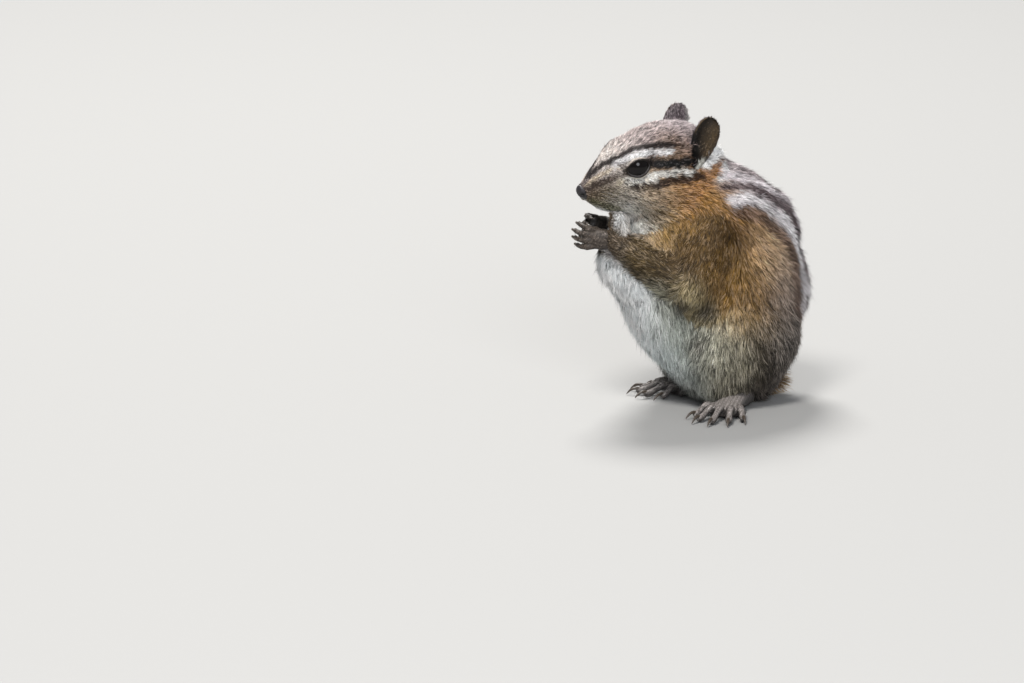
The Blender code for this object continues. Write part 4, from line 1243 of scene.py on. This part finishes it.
def unwrapped(points, normals, parts):
    """The roots laid out flat: one patch for each part and each of six directions, packed in rows."""
    strongest = np.abs(normals).argmax(axis=1)
    sign = np.take_along_axis(normals, strongest[:, None], 1)[:, 0] > 0
    chart = parts * 6 + strongest * 2 + sign
    flat = np.empty((len(points), 2))
    for axis, pair in enumerate(((1, 2), (0, 2), (0, 1))):
        chosen = strongest == axis
        flat[chosen] = points[chosen][:, pair]
    labels = np.unique(chart)
    lows = np.array([flat[chart == label].min(axis=0) for label in labels])
    sizes = np.array([flat[chart == label].max(axis=0) for label in labels]) - lows + 2 * CHART_GAP
    row_width = max(math.sqrt((sizes[:, 0] * sizes[:, 1]).sum()) * 1.15, sizes[:, 0].max())
    x = y = row_height = 0.0
    spots = np.zeros_like(sizes)
    for i in np.argsort(-sizes[:, 1]):
        if x + sizes[i, 0] > row_width:
            x, y, row_height = 0.0, y + row_height, 0.0
        spots[i] = x, y
        x += sizes[i, 0]
        row_height = max(row_height, sizes[i, 1])
    scale = 0.99 / max(row_width, y + row_height)
    place = np.searchsorted(labels, chart)
    return (flat - lows[place] + spots[place] + CHART_GAP) * scale + 0.004


# A hair's rows: how far along it each is, and its width there. A row with no width is one point.
HAIR_ROWS = ((0.0, 0.0), (0.42, 1.0), (1.0, 0.0))
LONG_ROWS = ((0.0, 0.0), (0.3, 1.0), (0.68, 0.7), (1.0, 0.0))
# Half the size of a hair on the bake map, and how many hairs a tuft has.
PATCH = 0.0015
TUFT = 6
ROOT_DEPTH = 0.12
STRAY_CHANCE = 0.05


def grow_coat(name, surface, count, seed, look, rows=HAIR_ROWS, pull=0.5, bands=None, loose=1.0):
    """Tufts of flat tapered hairs rooted in a surface, about this many hairs, as one object.

    Pull draws each tuft's tips together, and loose scales how much its hairs stray.
    """
    draw = np.random.default_rng(seed)
    fields = surface.fields
    tufts = count // TUFT
    density = fields["density"][surface.triangles].mean(axis=1) * surface.areas
    face = draw.choice(len(density), tufts, p=density / density.sum())
    shares = draw.dirichlet((1, 1, 1), tufts)[..., None]
    corners = surface.triangles[face]

    def at_root(values):
        values = values.reshape(len(values), -1)
        return (values[corners] * shares).sum(axis=1)

    root, normal = at_root(surface.points), unit(at_root(surface.normals))
    flow = unit(at_root(fields["flow"]))
    length, lift, width, spread, grizzled = (
        at_root(fields[key]) for key in ("length", "lift", "width", "spread", "grizzle")
    )
    colour = at_root(fields["colour"])
    swirl = waves(root, 2.4, seed + 1, 1) * 0.16 + waves(root, 0.9, seed + 2, 1) * 0.12
    flow = unit(flow + np.cross(normal, flow) * (swirl + draw.normal(0, 0.07, (tufts, 1))))
    length = length * np.exp(draw.normal(0, 0.10 * min(loose, 1.0), (tufts, 1)))
    lift = lift * np.exp(draw.normal(0, 0.18 * min(loose, 1.0), (tufts, 1)))
    shade = np.exp(draw.normal(-0.03, 0.30, (tufts, 1)))
    kind = draw.random((tufts, 1))

    def each(values):
        return np.repeat(values, TUFT, axis=0)

    total = tufts * TUFT
    root, normal, flow = each(root), each(normal), each(flow)
    length, lift, width, spread = each(length), each(lift), each(width), each(spread)
    across = np.cross(normal, flow)
    scatter = draw.normal(0, 0.55, (total, 2))
    shift = (flow * scatter[:, :1] * 1.5 + across * scatter[:, 1:] * 0.62) * spread
    stray = (draw.random((total, 1)) < STRAY_CHANCE * loose) * draw.uniform(0.3, 1.0, (total, 1))
    length = length * np.exp(draw.normal(0, 0.12 * min(loose, 1.0), (total, 1))) * (1 + 0.2 * stray)
    lift = np.clip(lift * np.exp(draw.normal(0, 0.2, (total, 1))) + stray * 0.22, 0.05, 1.2)
    turn = draw.normal(0, 0.10, (total, 1)) + stray * draw.normal(0, 0.3, (total, 1))
    heading = unit(flow + across * turn)
    flat = unit(np.cross(normal, heading) + normal * draw.normal(0, 0.35, (total, 1)))
    points = []
    for step, wide in rows:
        along = length * (np.cos(lift) * step + 0.12 * np.sin(lift) * step**2)
        rise = length * np.sin(lift) * (1.25 * step - 0.35 * step**2)
        spot = root - normal * ROOT_DEPTH + shift * (1 - pull * step) + heading * along + normal * rise
        spot[:, 2] = np.maximum(spot[:, 2], HAIR_FLOOR)
        points += [spot + flat * width * wide * way for way in ((1, -1) if wide else (0,))]
    points = np.stack(points, axis=1)
    own = np.cross(heading, flat)
    own = own * np.sign((own * normal).sum(axis=1, keepdims=True))
    shading = unit(normal * 0.72 + own * 0.28 + flat * draw.normal(0, 0.1, (total, 1)))
    colours = (bands or hair_colours)(draw, each(colour * shade), each(grizzled), each(kind), rows)
    flat_roots = unwrapped_roots(surface, root, normal, face)
    return coat_object(name, points, rows, shading, colours, flat_roots, look)


# The share of hairs that are of their tuft's kind, and how dark a dark hair and a root are.
KIND_SHARED = 0.6
DARK_HAIR = 0.26
ROOT_TONE = (0.34, 0.34, 0.37)


def hair_colours(draw, ground, grizzled, kind, rows):
    """Dark at the root, the ground colour in the middle, and some tips pale or whole hairs dark."""
    total = len(ground)
    ground = ground * np.exp(draw.normal(0, 0.19, (total, 1)))
    chance = np.where(draw.random((total, 1)) < KIND_SHARED, kind, draw.random((total, 1)))
    pale = chance < 0.34 * grizzled
    dark = chance > 1 - 0.34 * grizzled
    tint = ground / ground.max(axis=1, keepdims=True)
    paler = mix(tone(226, 218, 216), tint * 0.6, 0.6) * (0.2 + 0.36 * grizzled)
    lifted = np.minimum(ground * 1.1 + paler, 0.9)
    tip = mix(ground * 1.1, lifted, pale)
    ground = mix(ground, lifted, pale * 0.6)
    ground = np.where(dark, ground * DARK_HAIR, ground)
    tip = np.where(dark, tip * DARK_HAIR, tip)
    root = ground * ROOT_TONE
    colours = []
    for step, wide in rows:
        shown = mix(mix(root, ground, min(step / 0.42, 1)), tip, max(step - 0.42, 0) / 0.58)
        colours += [shown] * (2 if wide else 1)
    return np.stack(colours, axis=1).reshape(-1, 3)


def tail_bands(draw, ground, _grizzled, _kind, rows):
    """A tail hair: warm at the root, then black, then a long buff tip."""
    black, buff = tone(30, 24, 21), tone(178, 152, 118)
    late = draw.uniform(0.0, 0.12, (len(ground), 1))
    colours = []
    for step, wide in rows:
        shown = mix(ground * 0.8, black, smoothstep(0.28, 0.5, step + late))
        shown = mix(shown, buff, smoothstep(0.62, 0.86, step + late))
        colours += [shown] * (2 if wide else 1)
    return np.stack(colours, axis=1).reshape(-1, 3)


def unwrapped_roots(surface, root, normal, face):
    regions = surface.fields.get("region", np.zeros((len(surface.points), 1)))
    parts = regions.argmax(axis=1)[surface.triangles[face, 0]]
    return unwrapped(root, normal, np.repeat(parts, TUFT))


def coat_object(name, points, rows, shading, colours, flat, look):
    """Joins the hairs, each a pointed strip, into one mesh with its colours, shading and bake map."""
    total, each_hair = points.shape[:2]
    pairs = len(rows) - 2
    pattern = [0, 2, 1]
    for i in range(1, pairs):
        pattern += [2 * i - 1, 2 * i, 2 * i + 2, 2 * i + 1]
    pattern = np.array(pattern + [2 * pairs - 1, 2 * pairs, 2 * pairs + 1])
    sizes = np.array([3] + [4] * (pairs - 1) + [3])
    loops = (np.arange(total)[:, None] * each_hair + pattern).ravel()
    starts = (np.arange(total)[:, None] * len(pattern) + np.cumsum(sizes) - sizes).ravel()
    mesh = bpy.data.meshes.new(name)
    fill_mesh(mesh, (points.reshape(-1, 3) + OFFSET) * MM, loops, starts)
    mesh.shade_smooth()
    write_colours(mesh, colours)
    offsets = []
    for step, wide in rows:
        offsets += [(way, 2 * step - 1) for way in ((1, -1) if wide else (0,))]
    corner_uv = (flat[:, None] + np.array(offsets)[pattern] * PATCH).reshape(-1, 2)
    layer = mesh.uv_layers.new(name="OFBake", do_init=False)
    layer.uv.foreach_set("vector", np.clip(corner_uv, 0, 1).astype(np.float32).ravel())
    mesh.normals_split_custom_set_from_vertices(np.repeat(shading, each_hair, axis=0))
    mesh.materials.append(look)
    return placed(name, mesh)


def blank_look(name, roughness, specular=0.5):
    made = bpy.data.materials.new(name)
    made.use_nodes = True
    shader = made.node_tree.nodes["Principled BSDF"]
    shader.inputs["Roughness"].default_value = roughness
    shader.inputs["Specular IOR Level"].default_value = specular
    return made, made.node_tree, shader


def add_node(tree, kind, **settings):
    node = tree.nodes.new(kind)
    for key, value in settings.items():
        if key in node.inputs:
            node.inputs[key].default_value = value
        else:
            setattr(node, key, value)
    return node


def mottled_look(name, roughness, specular, low, high, **grain):
    """A look with the piece's own colours, made darker and lighter by a fine noise between two shares."""
    made, tree, shader = blank_look(name, roughness, specular)
    colours = add_node(tree, "ShaderNodeVertexColor", layer_name="Coat")
    place = add_node(tree, "ShaderNodeTexCoord")
    noise = add_node(tree, "ShaderNodeTexNoise", **grain)
    level = add_node(tree, "ShaderNodeMapRange", **{"To Min": low, "To Max": high})
    scaled = add_node(tree, "ShaderNodeVectorMath", operation="SCALE")
    tree.links.new(place.outputs["Object"], noise.inputs["Vector"])
    tree.links.new(noise.outputs["Fac"], level.inputs["Value"])
    tree.links.new(colours.outputs["Color"], scaled.inputs[0])
    tree.links.new(level.outputs["Result"], scaled.inputs["Scale"])
    tree.links.new(scaled.outputs["Vector"], shader.inputs["Base Color"])
    return made, tree, shader, place, noise


def coat_look():
    """Hair: its own markings, with a little uneven light and dark from hair to hair."""
    grain = dict(Scale=900.0, Detail=2.0, Roughness=0.6)
    made, _, shader, _, _ = mottled_look("coat_hair", 0.55, 0.2, 0.84, 1.16, **grain)
    shader.inputs["Sheen Weight"].default_value = 0.04
    shader.inputs["Sheen Roughness"].default_value = 0.45
    return made


def skin_look(name, roughness, scale, depth, specular=0.3):
    """Skin: its own colours, with fine creases and grain raised by a bump."""
    grain = dict(Scale=scale * 0.35, Detail=5.0, Roughness=0.65)
    made, tree, shader, place, noise = mottled_look(name, roughness, specular, 0.72, 1.25, **grain)
    creases = add_node(tree, "ShaderNodeTexVoronoi", Scale=scale)
    height = add_node(tree, "ShaderNodeMath", operation="ADD")
    bump = add_node(tree, "ShaderNodeBump", Strength=0.55, Distance=depth)
    tree.links.new(place.outputs["Object"], creases.inputs["Vector"])
    tree.links.new(creases.outputs["Distance"], height.inputs[0])
    tree.links.new(noise.outputs["Fac"], height.inputs[1])
    tree.links.new(height.outputs["Value"], bump.inputs["Height"])
    tree.links.new(bump.outputs["Normal"], shader.inputs["Normal"])
    return made


def drifting_look(name, roughness, low, high, specular=0.5, anchored=True, **grain):
    """A look that drifts from one colour to another. Anchored, its noise keeps its place on the piece."""
    made, tree, shader = blank_look(name, roughness, specular)
    noise = add_node(tree, "ShaderNodeTexNoise", **grain)
    if anchored:
        place = add_node(tree, "ShaderNodeTexCoord")
        tree.links.new(place.outputs["Object"], noise.inputs["Vector"])
    ramp = add_node(tree, "ShaderNodeValToRGB")
    for element, colour in zip(ramp.color_ramp.elements, (low, high)):
        element.color = (*colour, 1)
    tree.links.new(noise.outputs["Fac"], ramp.inputs["Fac"])
    tree.links.new(ramp.outputs["Color"], shader.inputs["Base Color"])
    return made


def eye_look():
    """A wet ball of near black brown."""
    colours = (0.0015, 0.0013, 0.0016), (0.006, 0.004, 0.0035)
    return drifting_look("eye_wet", 0.04, *colours, specular=0.24, Scale=420.0, Detail=3.0)


def claw_look():
    """Dark brown horn, paler in streaks."""
    colours = (0.018, 0.013, 0.010), (0.11, 0.085, 0.065)
    return drifting_look("claw_horn", 0.35, *colours, Scale=1500.0, Detail=4.0, Roughness=0.6)


def whisker_look():
    return drifting_look("whisker_hair", 0.4, (0.03, 0.024, 0.02), (0.42, 0.38, 0.33), Scale=160.0)


NOSE_AXIS = unit(0.96 * FORWARD - 0.28 * UP)
NOSTRIL = (14.9, 1.35, -7.35)
NOSTRIL_TAIL = (14.2, 1.95, -6.7)


def nose_angle(points):
    """The angle of each point off the nose's axis, forward and a little down. Far points count as pi."""
    away = points - head_place(*NOSE_SPOT)
    distance = np.linalg.norm(away, axis=1)
    angle = np.arccos(np.clip(away @ NOSE_AXIS / np.maximum(distance, 1e-6), -1, 1))
    return np.where(distance < 4.5, angle, math.pi)


def nose_surface(skin_tree):
    """The bare pad over the snout's tip, with a groove down its middle and comma-shaped nostrils painted
    near black for the shade in them.
    """
    centre = head_place(*NOSE_SPOT)
    above = np.cross(SIDEWAYS, NOSE_AXIS)
    above = above * np.sign(above[2])
    rows, columns = 26, 72
    turns = 2 * math.pi * np.arange(columns) / columns
    points = []
    for row in range(rows):
        share = (row + 0.02) / (rows - 1)
        angle = PAD_END * share
        round_it = SIDEWAYS * np.cos(turns)[:, None] + above * np.sin(turns)[:, None]
        ways = unit(NOSE_AXIS * math.cos(angle) + round_it * math.sin(angle))
        rise = 0.14 - 0.42 * smoothstep(0.82, 1.0, share)
        for way in ways:
            hit = skin_tree.ray_cast(centre, way, 6)
            points.append(centre + way * ((hit[3] if hit[0] is not None else 2.0) + rise))
    middle = [(0, j + 1, j) for j in range(1, columns - 1)]
    surface = turned(points, np.concatenate([quad_triangles(rows, columns), middle]), NOSE_AXIS)
    surface.points = surface.blurred(surface.points, 3)
    surface.find_normals()
    measures = head_measures(surface.points)
    gap = np.linalg.norm((measures - NOSTRIL) / (0.55, 0.5, 0.42), axis=1)
    pit = np.exp(-(gap**2))
    tail = np.exp(-((distance_to_line(measures, (NOSTRIL, NOSTRIL_TAIL)) / 0.24) ** 2))
    groove = np.exp(-((measures[:, 1] / 0.16) ** 2)) * smoothstep(-5.9, -7.2, measures[:, 2])
    surface.points = surface.points - surface.normals * (0.75 * pit + 0.35 * tail + 0.2 * groove)[:, None]
    surface.find_normals()
    colour = mix(tone(40, 36, 40), tone(26, 23, 25), smoothstep(-5.5, -8.0, measures[:, 2])[:, None])
    # Painted shade: the nostrils and their tails go near black.
    colour = mix(colour, tone(10, 8, 8), np.clip(pit * 1.3 + tail * 0.9, 0, 1)[:, None])
    surface.fields["colour"] = colour
    return surface


# Where whiskers start, their length and how far they are raised: twelve on a lip pad, a brow and a cheek.
WHISKERS = [
    (10.6 - 1.5 * column, 4.4 + 0.35 * column, -6.4 - 0.95 * row, 9 + 2.6 * column, 0.0)
    for row in range(3)
    for column in range(4)
] + [(3.0, 7.0, 4.2, 5, 0.35), (-3.0, 10.6, -6.0, 7, -0.2)]


def whisker_surfaces():
    """Long tapering whiskers from the lip pads, with a few over each eye and on each cheek."""
    draw = np.random.default_rng(61)
    found = []
    for side in (LEFT, RIGHT):
        for forward, out, up, length, raised in WHISKERS:
            root = head_place(forward, side * out, up)
            way = -0.62 * FORWARD + side * 0.72 * SIDEWAYS + (raised - 0.22) * UP
            way = unit(way + draw.normal(0, 0.16, 3))
            droop = draw.uniform(0.10, 0.22)
            length = length * draw.uniform(0.8, 1.15)
            rows = []
            for share in np.linspace(0, 1, 9):
                spot = root + way * length * share - UP * droop * length * share**2
                spot = spot - FORWARD * 0.15 * length * share**2
                radius = mix(0.065, 0.012, share)
                rows.append((*spot, radius, radius))
            found.append(tube_surface(rows, 5))
    return merged(found)


def settle(obj, slot, *nodes):
    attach(obj, "root")
    if nodes:
        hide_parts(*nodes)


def above_skin(points, skin):
    """Where each point of a patch near the skin would lie on the coat's outline."""
    tree, outer = skin.tree(), skin.fields["outer"]
    lifts = outer - skin.points
    raised = []
    for point in points:
        face = tree.find_nearest(Vector(point))[2]
        raised.append(point + lifts[skin.triangles[face]].mean(axis=0))
    return np.array(raised)


def dress_lids(lids, skin):
    """The lids take the markings around them, with a bare dark rim against the ball."""
    for side, lid in lids.items():
        weights = np.zeros((len(lid.points), len(REGION_NAMES)))
        weights[:, 0] = 1
        dress(lid, weights, above_skin(lid.points, skin))
        _, turn, share = lid_measures(lid.points, side)
        ring = smoothstep(1.22, 1.4, share) * smoothstep(2.0, 1.7, share)
        ring = ring * smoothstep(0.35, 0.7, np.abs(np.sin(turn)))
        corners = smoothstep(0.80, 0.95, np.abs(np.cos(turn))) * smoothstep(2.0, 1.5, share)
        rim = smoothstep(1.32, 1.16, share)
        colour = mix(lid.fields["colour"], tone(222, 214, 200), (0.75 * ring)[:, None])
        colour = mix(colour, tone(34, 26, 22), (0.9 * corners)[:, None])
        lid.give(
            colour=mix(colour, tone(20, 14, 12), rim[:, None]),
            density=smoothstep(1.10, 1.25, share) * 2.2,
            length=mix(0.6, 1.1, smoothstep(1.1, 1.8, share)),
            width=0.045,
            spread=0.12,
            lift=math.radians(10),
        )


# Each kind of skin: roughness, grain, depth of its creases, specular, and its slot.
SKINS = {
    "skin_under": (0.75, 900.0, 0.0002, 0.3, "coat_belly"),
    "lid_skin": (0.42, 1500.0, 0.0001, 0.3, "coat_head"),
    "hand_skin": (0.5, 2600.0, 0.00003, 0.3, "paw"),
    "foot_skin": (0.55, 2400.0, 0.00004, 0.3, "paw"),
    "ear_skin": (0.55, 1600.0, 0.0001, 0.3, "ear"),
    "nose_skin": (0.38, 3200.0, 0.00012, 0.5, "nose"),
    "tail_skin": (0.75, 900.0, 0.0002, 0.3, "coat_tail"),
}


def add_skin(name, surface, kind, colour, *nodes, ending=""):
    """A piece of bare or under skin of one kind, in place of these nodes."""
    *finish, specular, slot = SKINS[kind]
    look = skin_look(kind + ending, *finish, specular)
    settle(to_object(name, surface, look, colour), slot, *nodes)


def build_body():
    skin = body_skin()
    tree = skin.tree()
    lids = {side: lid_surface(side, tree) for side in (LEFT, RIGHT)}
    dress_lids(lids, skin)
    # The skin under the coat takes half the coat's colours, painted shade under the hair. Along the lips it
    # goes near black: their dark skin with painted shade in the mouth's line.
    under = skin.fields["colour"] * 0.5
    under = mix(under, tone(26, 18, 15), np.clip(skin.fields["lips"], 0, 1)[:, None])
    under_pad = smoothstep(*PAD_SUNK, nose_angle(skin.points))
    lowered = Surface(skin.points - skin.normals * (0.95 * under_pad)[:, None], skin.triangles)
    flesh = [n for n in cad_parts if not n.startswith((*END_WORDS, "nose", "eye"))]
    add_skin("skin", lowered, "skin_under", under, *flesh)
    wet = eye_look()
    for side, lid in lids.items():
        name = SIDE_NAMES[side]
        add_skin("lids_" + name, lid, "lid_skin", lid.fields["colour"], ending="_" + name)
        ball = ball_surface(eye_centre(side), (EYE_RADIUS,) * 3, (FORWARD, SIDEWAYS, UP), 64, 48)
        settle(to_object("eyeball_" + name, ball, wet), "eye", "eye_" + name)
    return skin, lids


def hand_surface(side, forms):
    """One hand, with pale hair where the inner side of its wrist goes over into the arm."""
    ahead, _, out = palm_axes(side)
    hand = limb_end(forms, HAND_GRID, ((42, 36, 31), (98, 88, 80)), ahead, 0.8, 0.5 * UP + out)
    up_arm = smoothstep(1.5, -1.5, (hand.points - WRISTS[side]) @ ahead)
    pale = 0.85 * up_arm * smoothstep(0.0, 0.8, -side * hand.normals[:, 1])
    hand.give(colour=mix(hand.fields["colour"], tone(190, 184, 182), pale[:, None]))
    return hand


def foot_surface(side, forms):
    ahead = foot_place(side, 1, 0, 0) - foot_place(side, 0, 0, 0)
    return limb_end(forms, FOOT_GRID, ((84, 76, 72), (186, 179, 175)), ahead, 0.9, UP)


# What shapes each paw and its skin, and how far its colours are shaded under the hair.
PAWS = {"hand": (hand_parts, hand_surface, 0.7), "foot": (foot_parts, foot_surface, 0.65)}
EAR_SHADE, TAIL_SHADE = 0.85, 0.4


def build_ends(skin_tree):
    """The paws with their claws, ears, nose, tail and whiskers. Gives the surfaces that carry hair."""
    horn, found = claw_look(), {}
    for side in (LEFT, RIGHT):
        ending = "_" + SIDE_NAMES[side]
        paws = []
        for word, (parts, make, shade) in PAWS.items():
            forms, claws = parts(side)
            paw = make(side, forms)
            paws.append(paw)
            shown = paw.fields["colour"] * shade
            add_skin(word + "_skin" + ending, paw, word + "_skin", shown, word + ending, ending=ending)
            settle(to_object(word + "_claws" + ending, merged(claws), horn), "claw")
        ear = ear_surface(side)
        shown = ear.fields["colour"] * EAR_SHADE
        add_skin("ear_skin" + ending, ear, "ear_skin", shown, "ear" + ending, ending=ending)
        found["paws" + ending] = merged(paws)
        found["ear" + ending] = ear
    nose = nose_surface(skin_tree)
    add_skin("nose_pad", nose, "nose_skin", nose.fields["colour"], "nose")
    found["tail"] = tail_surface()
    add_skin("tail_skin", found["tail"], "tail_skin", found["tail"].fields["colour"] * TAIL_SHADE, "tail")
    settle(to_object("whiskers", whisker_surfaces(), whisker_look()), "coat_head")
    return found


def only_part(surface, keep):
    """The triangles of a surface whose corners pass, with the same corners."""
    part = Surface(surface.points, surface.triangles[keep[surface.triangles].all(axis=1)])
    part.normals = surface.normals
    part.fields = surface.fields
    return part


# The coat's pieces on the main skin: slot, the regions that each grows on and how many hairs it has.
COAT_PIECES = {
    "face": ("coat_head", ("head",), 95000),
    "nape": ("coat_head", ("head",), 80000),
    "neck": ("coat_shoulder", ("neck",), 60000),
    "chest": ("coat_shoulder", ("chest",), 82000),
    "belly": ("coat_belly", ("belly",), 74000),
    "rump": ("coat_rump", ("rump",), 66000),
    "arms": ("coat_limb", ("upper_arm", "forearm"), 76000),
    "thighs": ("coat_thigh", ("thigh",), 70000),
}
# How far forward of the point between the eyes the face's coat begins.
FACE_START = -6
# The same for pieces of both sides: slot, how many hairs, seed and how far a tuft's tips draw together.
SIDE_PIECES = {
    "lids": ("coat_head", 4600, 200, 0.2),
    "ear": ("ear", 12000, 210, 0.3),
    "paws": ("paw", 11000, 220, 0.3),
}
TAIL_HAIRS = 38000


def grow_all(skin, lids, ends):
    look = coat_look()
    fewer = 1.0
    main = skin.fields["region"].argmax(axis=1)
    forward = head_measures(skin.points)[:, 0]
    for number, (piece, (slot, regions, hairs)) in enumerate(COAT_PIECES.items()):
        keep = np.isin(main, [REGION_NAMES.index(region) for region in regions])
        if piece == "face":
            keep &= forward > FACE_START
        if piece == "nape":
            keep &= forward <= FACE_START
        part = only_part(skin, skin.blurred(keep.astype(float), 2)[:, 0] > 0.2)
        loose = 2.2 if piece == "belly" else 1.0
        grown = grow_coat("fur_" + piece, part, int(hairs * fewer), 100 + 7 * number, look, loose=loose)
        settle(grown, slot)
    carriers = {"lids_" + SIDE_NAMES[side]: lid for side, lid in lids.items()} | ends
    for side in (LEFT, RIGHT):
        for piece, (slot, hairs, seed, pull) in SIDE_PIECES.items():
            name = piece + "_" + SIDE_NAMES[side]
            count = int(hairs * fewer)
            grown = grow_coat("fur_" + name, carriers[name], count, seed + side, look, pull=pull)
            settle(grown, slot)
    hairs = int(TAIL_HAIRS * fewer)
    tail = grow_coat("fur_tail", ends["tail"], hairs, 231, look, LONG_ROWS, 0.35, tail_bands, 0.2)
    settle(tail, "coat_tail")


# The photo's frame: its size, how many pixels a millimetre takes, and where the modelling origin falls.
PHOTO_SIZE = (1024, 683)
PIXELS_PER_MM = 3.6
ORIGIN_PIXEL = (705.0, 399.0)
CAMERA_TURN, CAMERA_RISE = math.radians(-22), math.radians(13)
CAMERA_DISTANCE = 2370.0
CAMERA_DEPTH = 15.0


def set_camera():
    right = np.array((math.cos(CAMERA_TURN), math.sin(CAMERA_TURN), 0))
    level = np.array((math.sin(CAMERA_TURN), -math.cos(CAMERA_TURN), 0))
    back = level * math.cos(CAMERA_RISE) + UP * math.sin(CAMERA_RISE)
    above = np.cross(back, right)
    across = (PHOTO_SIZE[0] / 2 - ORIGIN_PIXEL[0]) / PIXELS_PER_MM
    rise = (ORIGIN_PIXEL[1] - PHOTO_SIZE[1] / 2) / PIXELS_PER_MM
    aim = right * across + above * rise + back * CAMERA_DEPTH
    data = bpy.data.cameras.new("photo_camera")
    data.sensor_width = 36.0
    data.lens = data.sensor_width * CAMERA_DISTANCE * PIXELS_PER_MM / PHOTO_SIZE[0]
    data.clip_start, data.clip_end = 0.05, 60.0
    camera = placed("photo_camera", data)
    camera.location = (aim + back * CAMERA_DISTANCE + OFFSET) * MM
    camera.rotation_euler = Vector(back).to_track_quat("Z", "Y").to_euler()
    bpy.context.scene.camera = camera


FLOOR_REACH = 12.0
LAMP_AIM = (0.0, -0.02, 0.045)
# Each lamp: place in metres, size, power and colour.
LAMPS = {
    "key_lamp": ((-0.6, -0.7, 1.35), 0.5, 21, (1.0, 0.97, 0.93)),
    "fill_lamp": ((-0.25, -1.2, 0.62), 0.6, 7, (0.95, 0.97, 1.0)),
    "rim_lamp": ((0.1, 0.75, 1.2), 0.5, 26, (1.0, 0.98, 0.95)),
}
SKY_COLOUR, SKY_STRENGTH = (0.93, 0.96, 1.0, 1), 0.30


def set_stage():
    """A pale floor, soft lamps and an even pale sky."""
    mesh = bpy.data.meshes.new("floor")
    corners = [(x * FLOOR_REACH, y * FLOOR_REACH, 0) for x, y in ((-1, -1), (1, -1), (1, 1), (-1, 1))]
    mesh.from_pydata(corners, [], [(0, 1, 2, 3)])
    tones = (0.33, 0.33, 0.327), (0.37, 0.37, 0.367)
    mesh.materials.append(drifting_look("floor_paint", 0.85, *tones, anchored=False, Scale=6.0, Detail=4.0))
    placed("floor", mesh)
    for name, (place, size, power, colour) in LAMPS.items():
        data = bpy.data.lights.new(name, "AREA")
        data.shape = "DISK"
        data.size, data.energy, data.color = size, power, colour
        lamp = placed(name, data)
        lamp.location = place
        lamp.rotation_euler = (Vector(place) - Vector(LAMP_AIM)).to_track_quat("Z", "Y").to_euler()
    world = bpy.data.worlds.new("sky")
    world.use_nodes = True
    sky = world.node_tree.nodes["Background"]
    sky.inputs["Color"].default_value = SKY_COLOUR
    sky.inputs["Strength"].default_value = SKY_STRENGTH
    bpy.context.scene.world = world
    bpy.context.scene.view_settings.view_transform = "Standard"


def main():
    skin, lids = build_body()
    ends = build_ends(skin.tree())
    grow_all(skin, lids, ends)
    set_stage()
    set_camera()
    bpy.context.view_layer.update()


main()
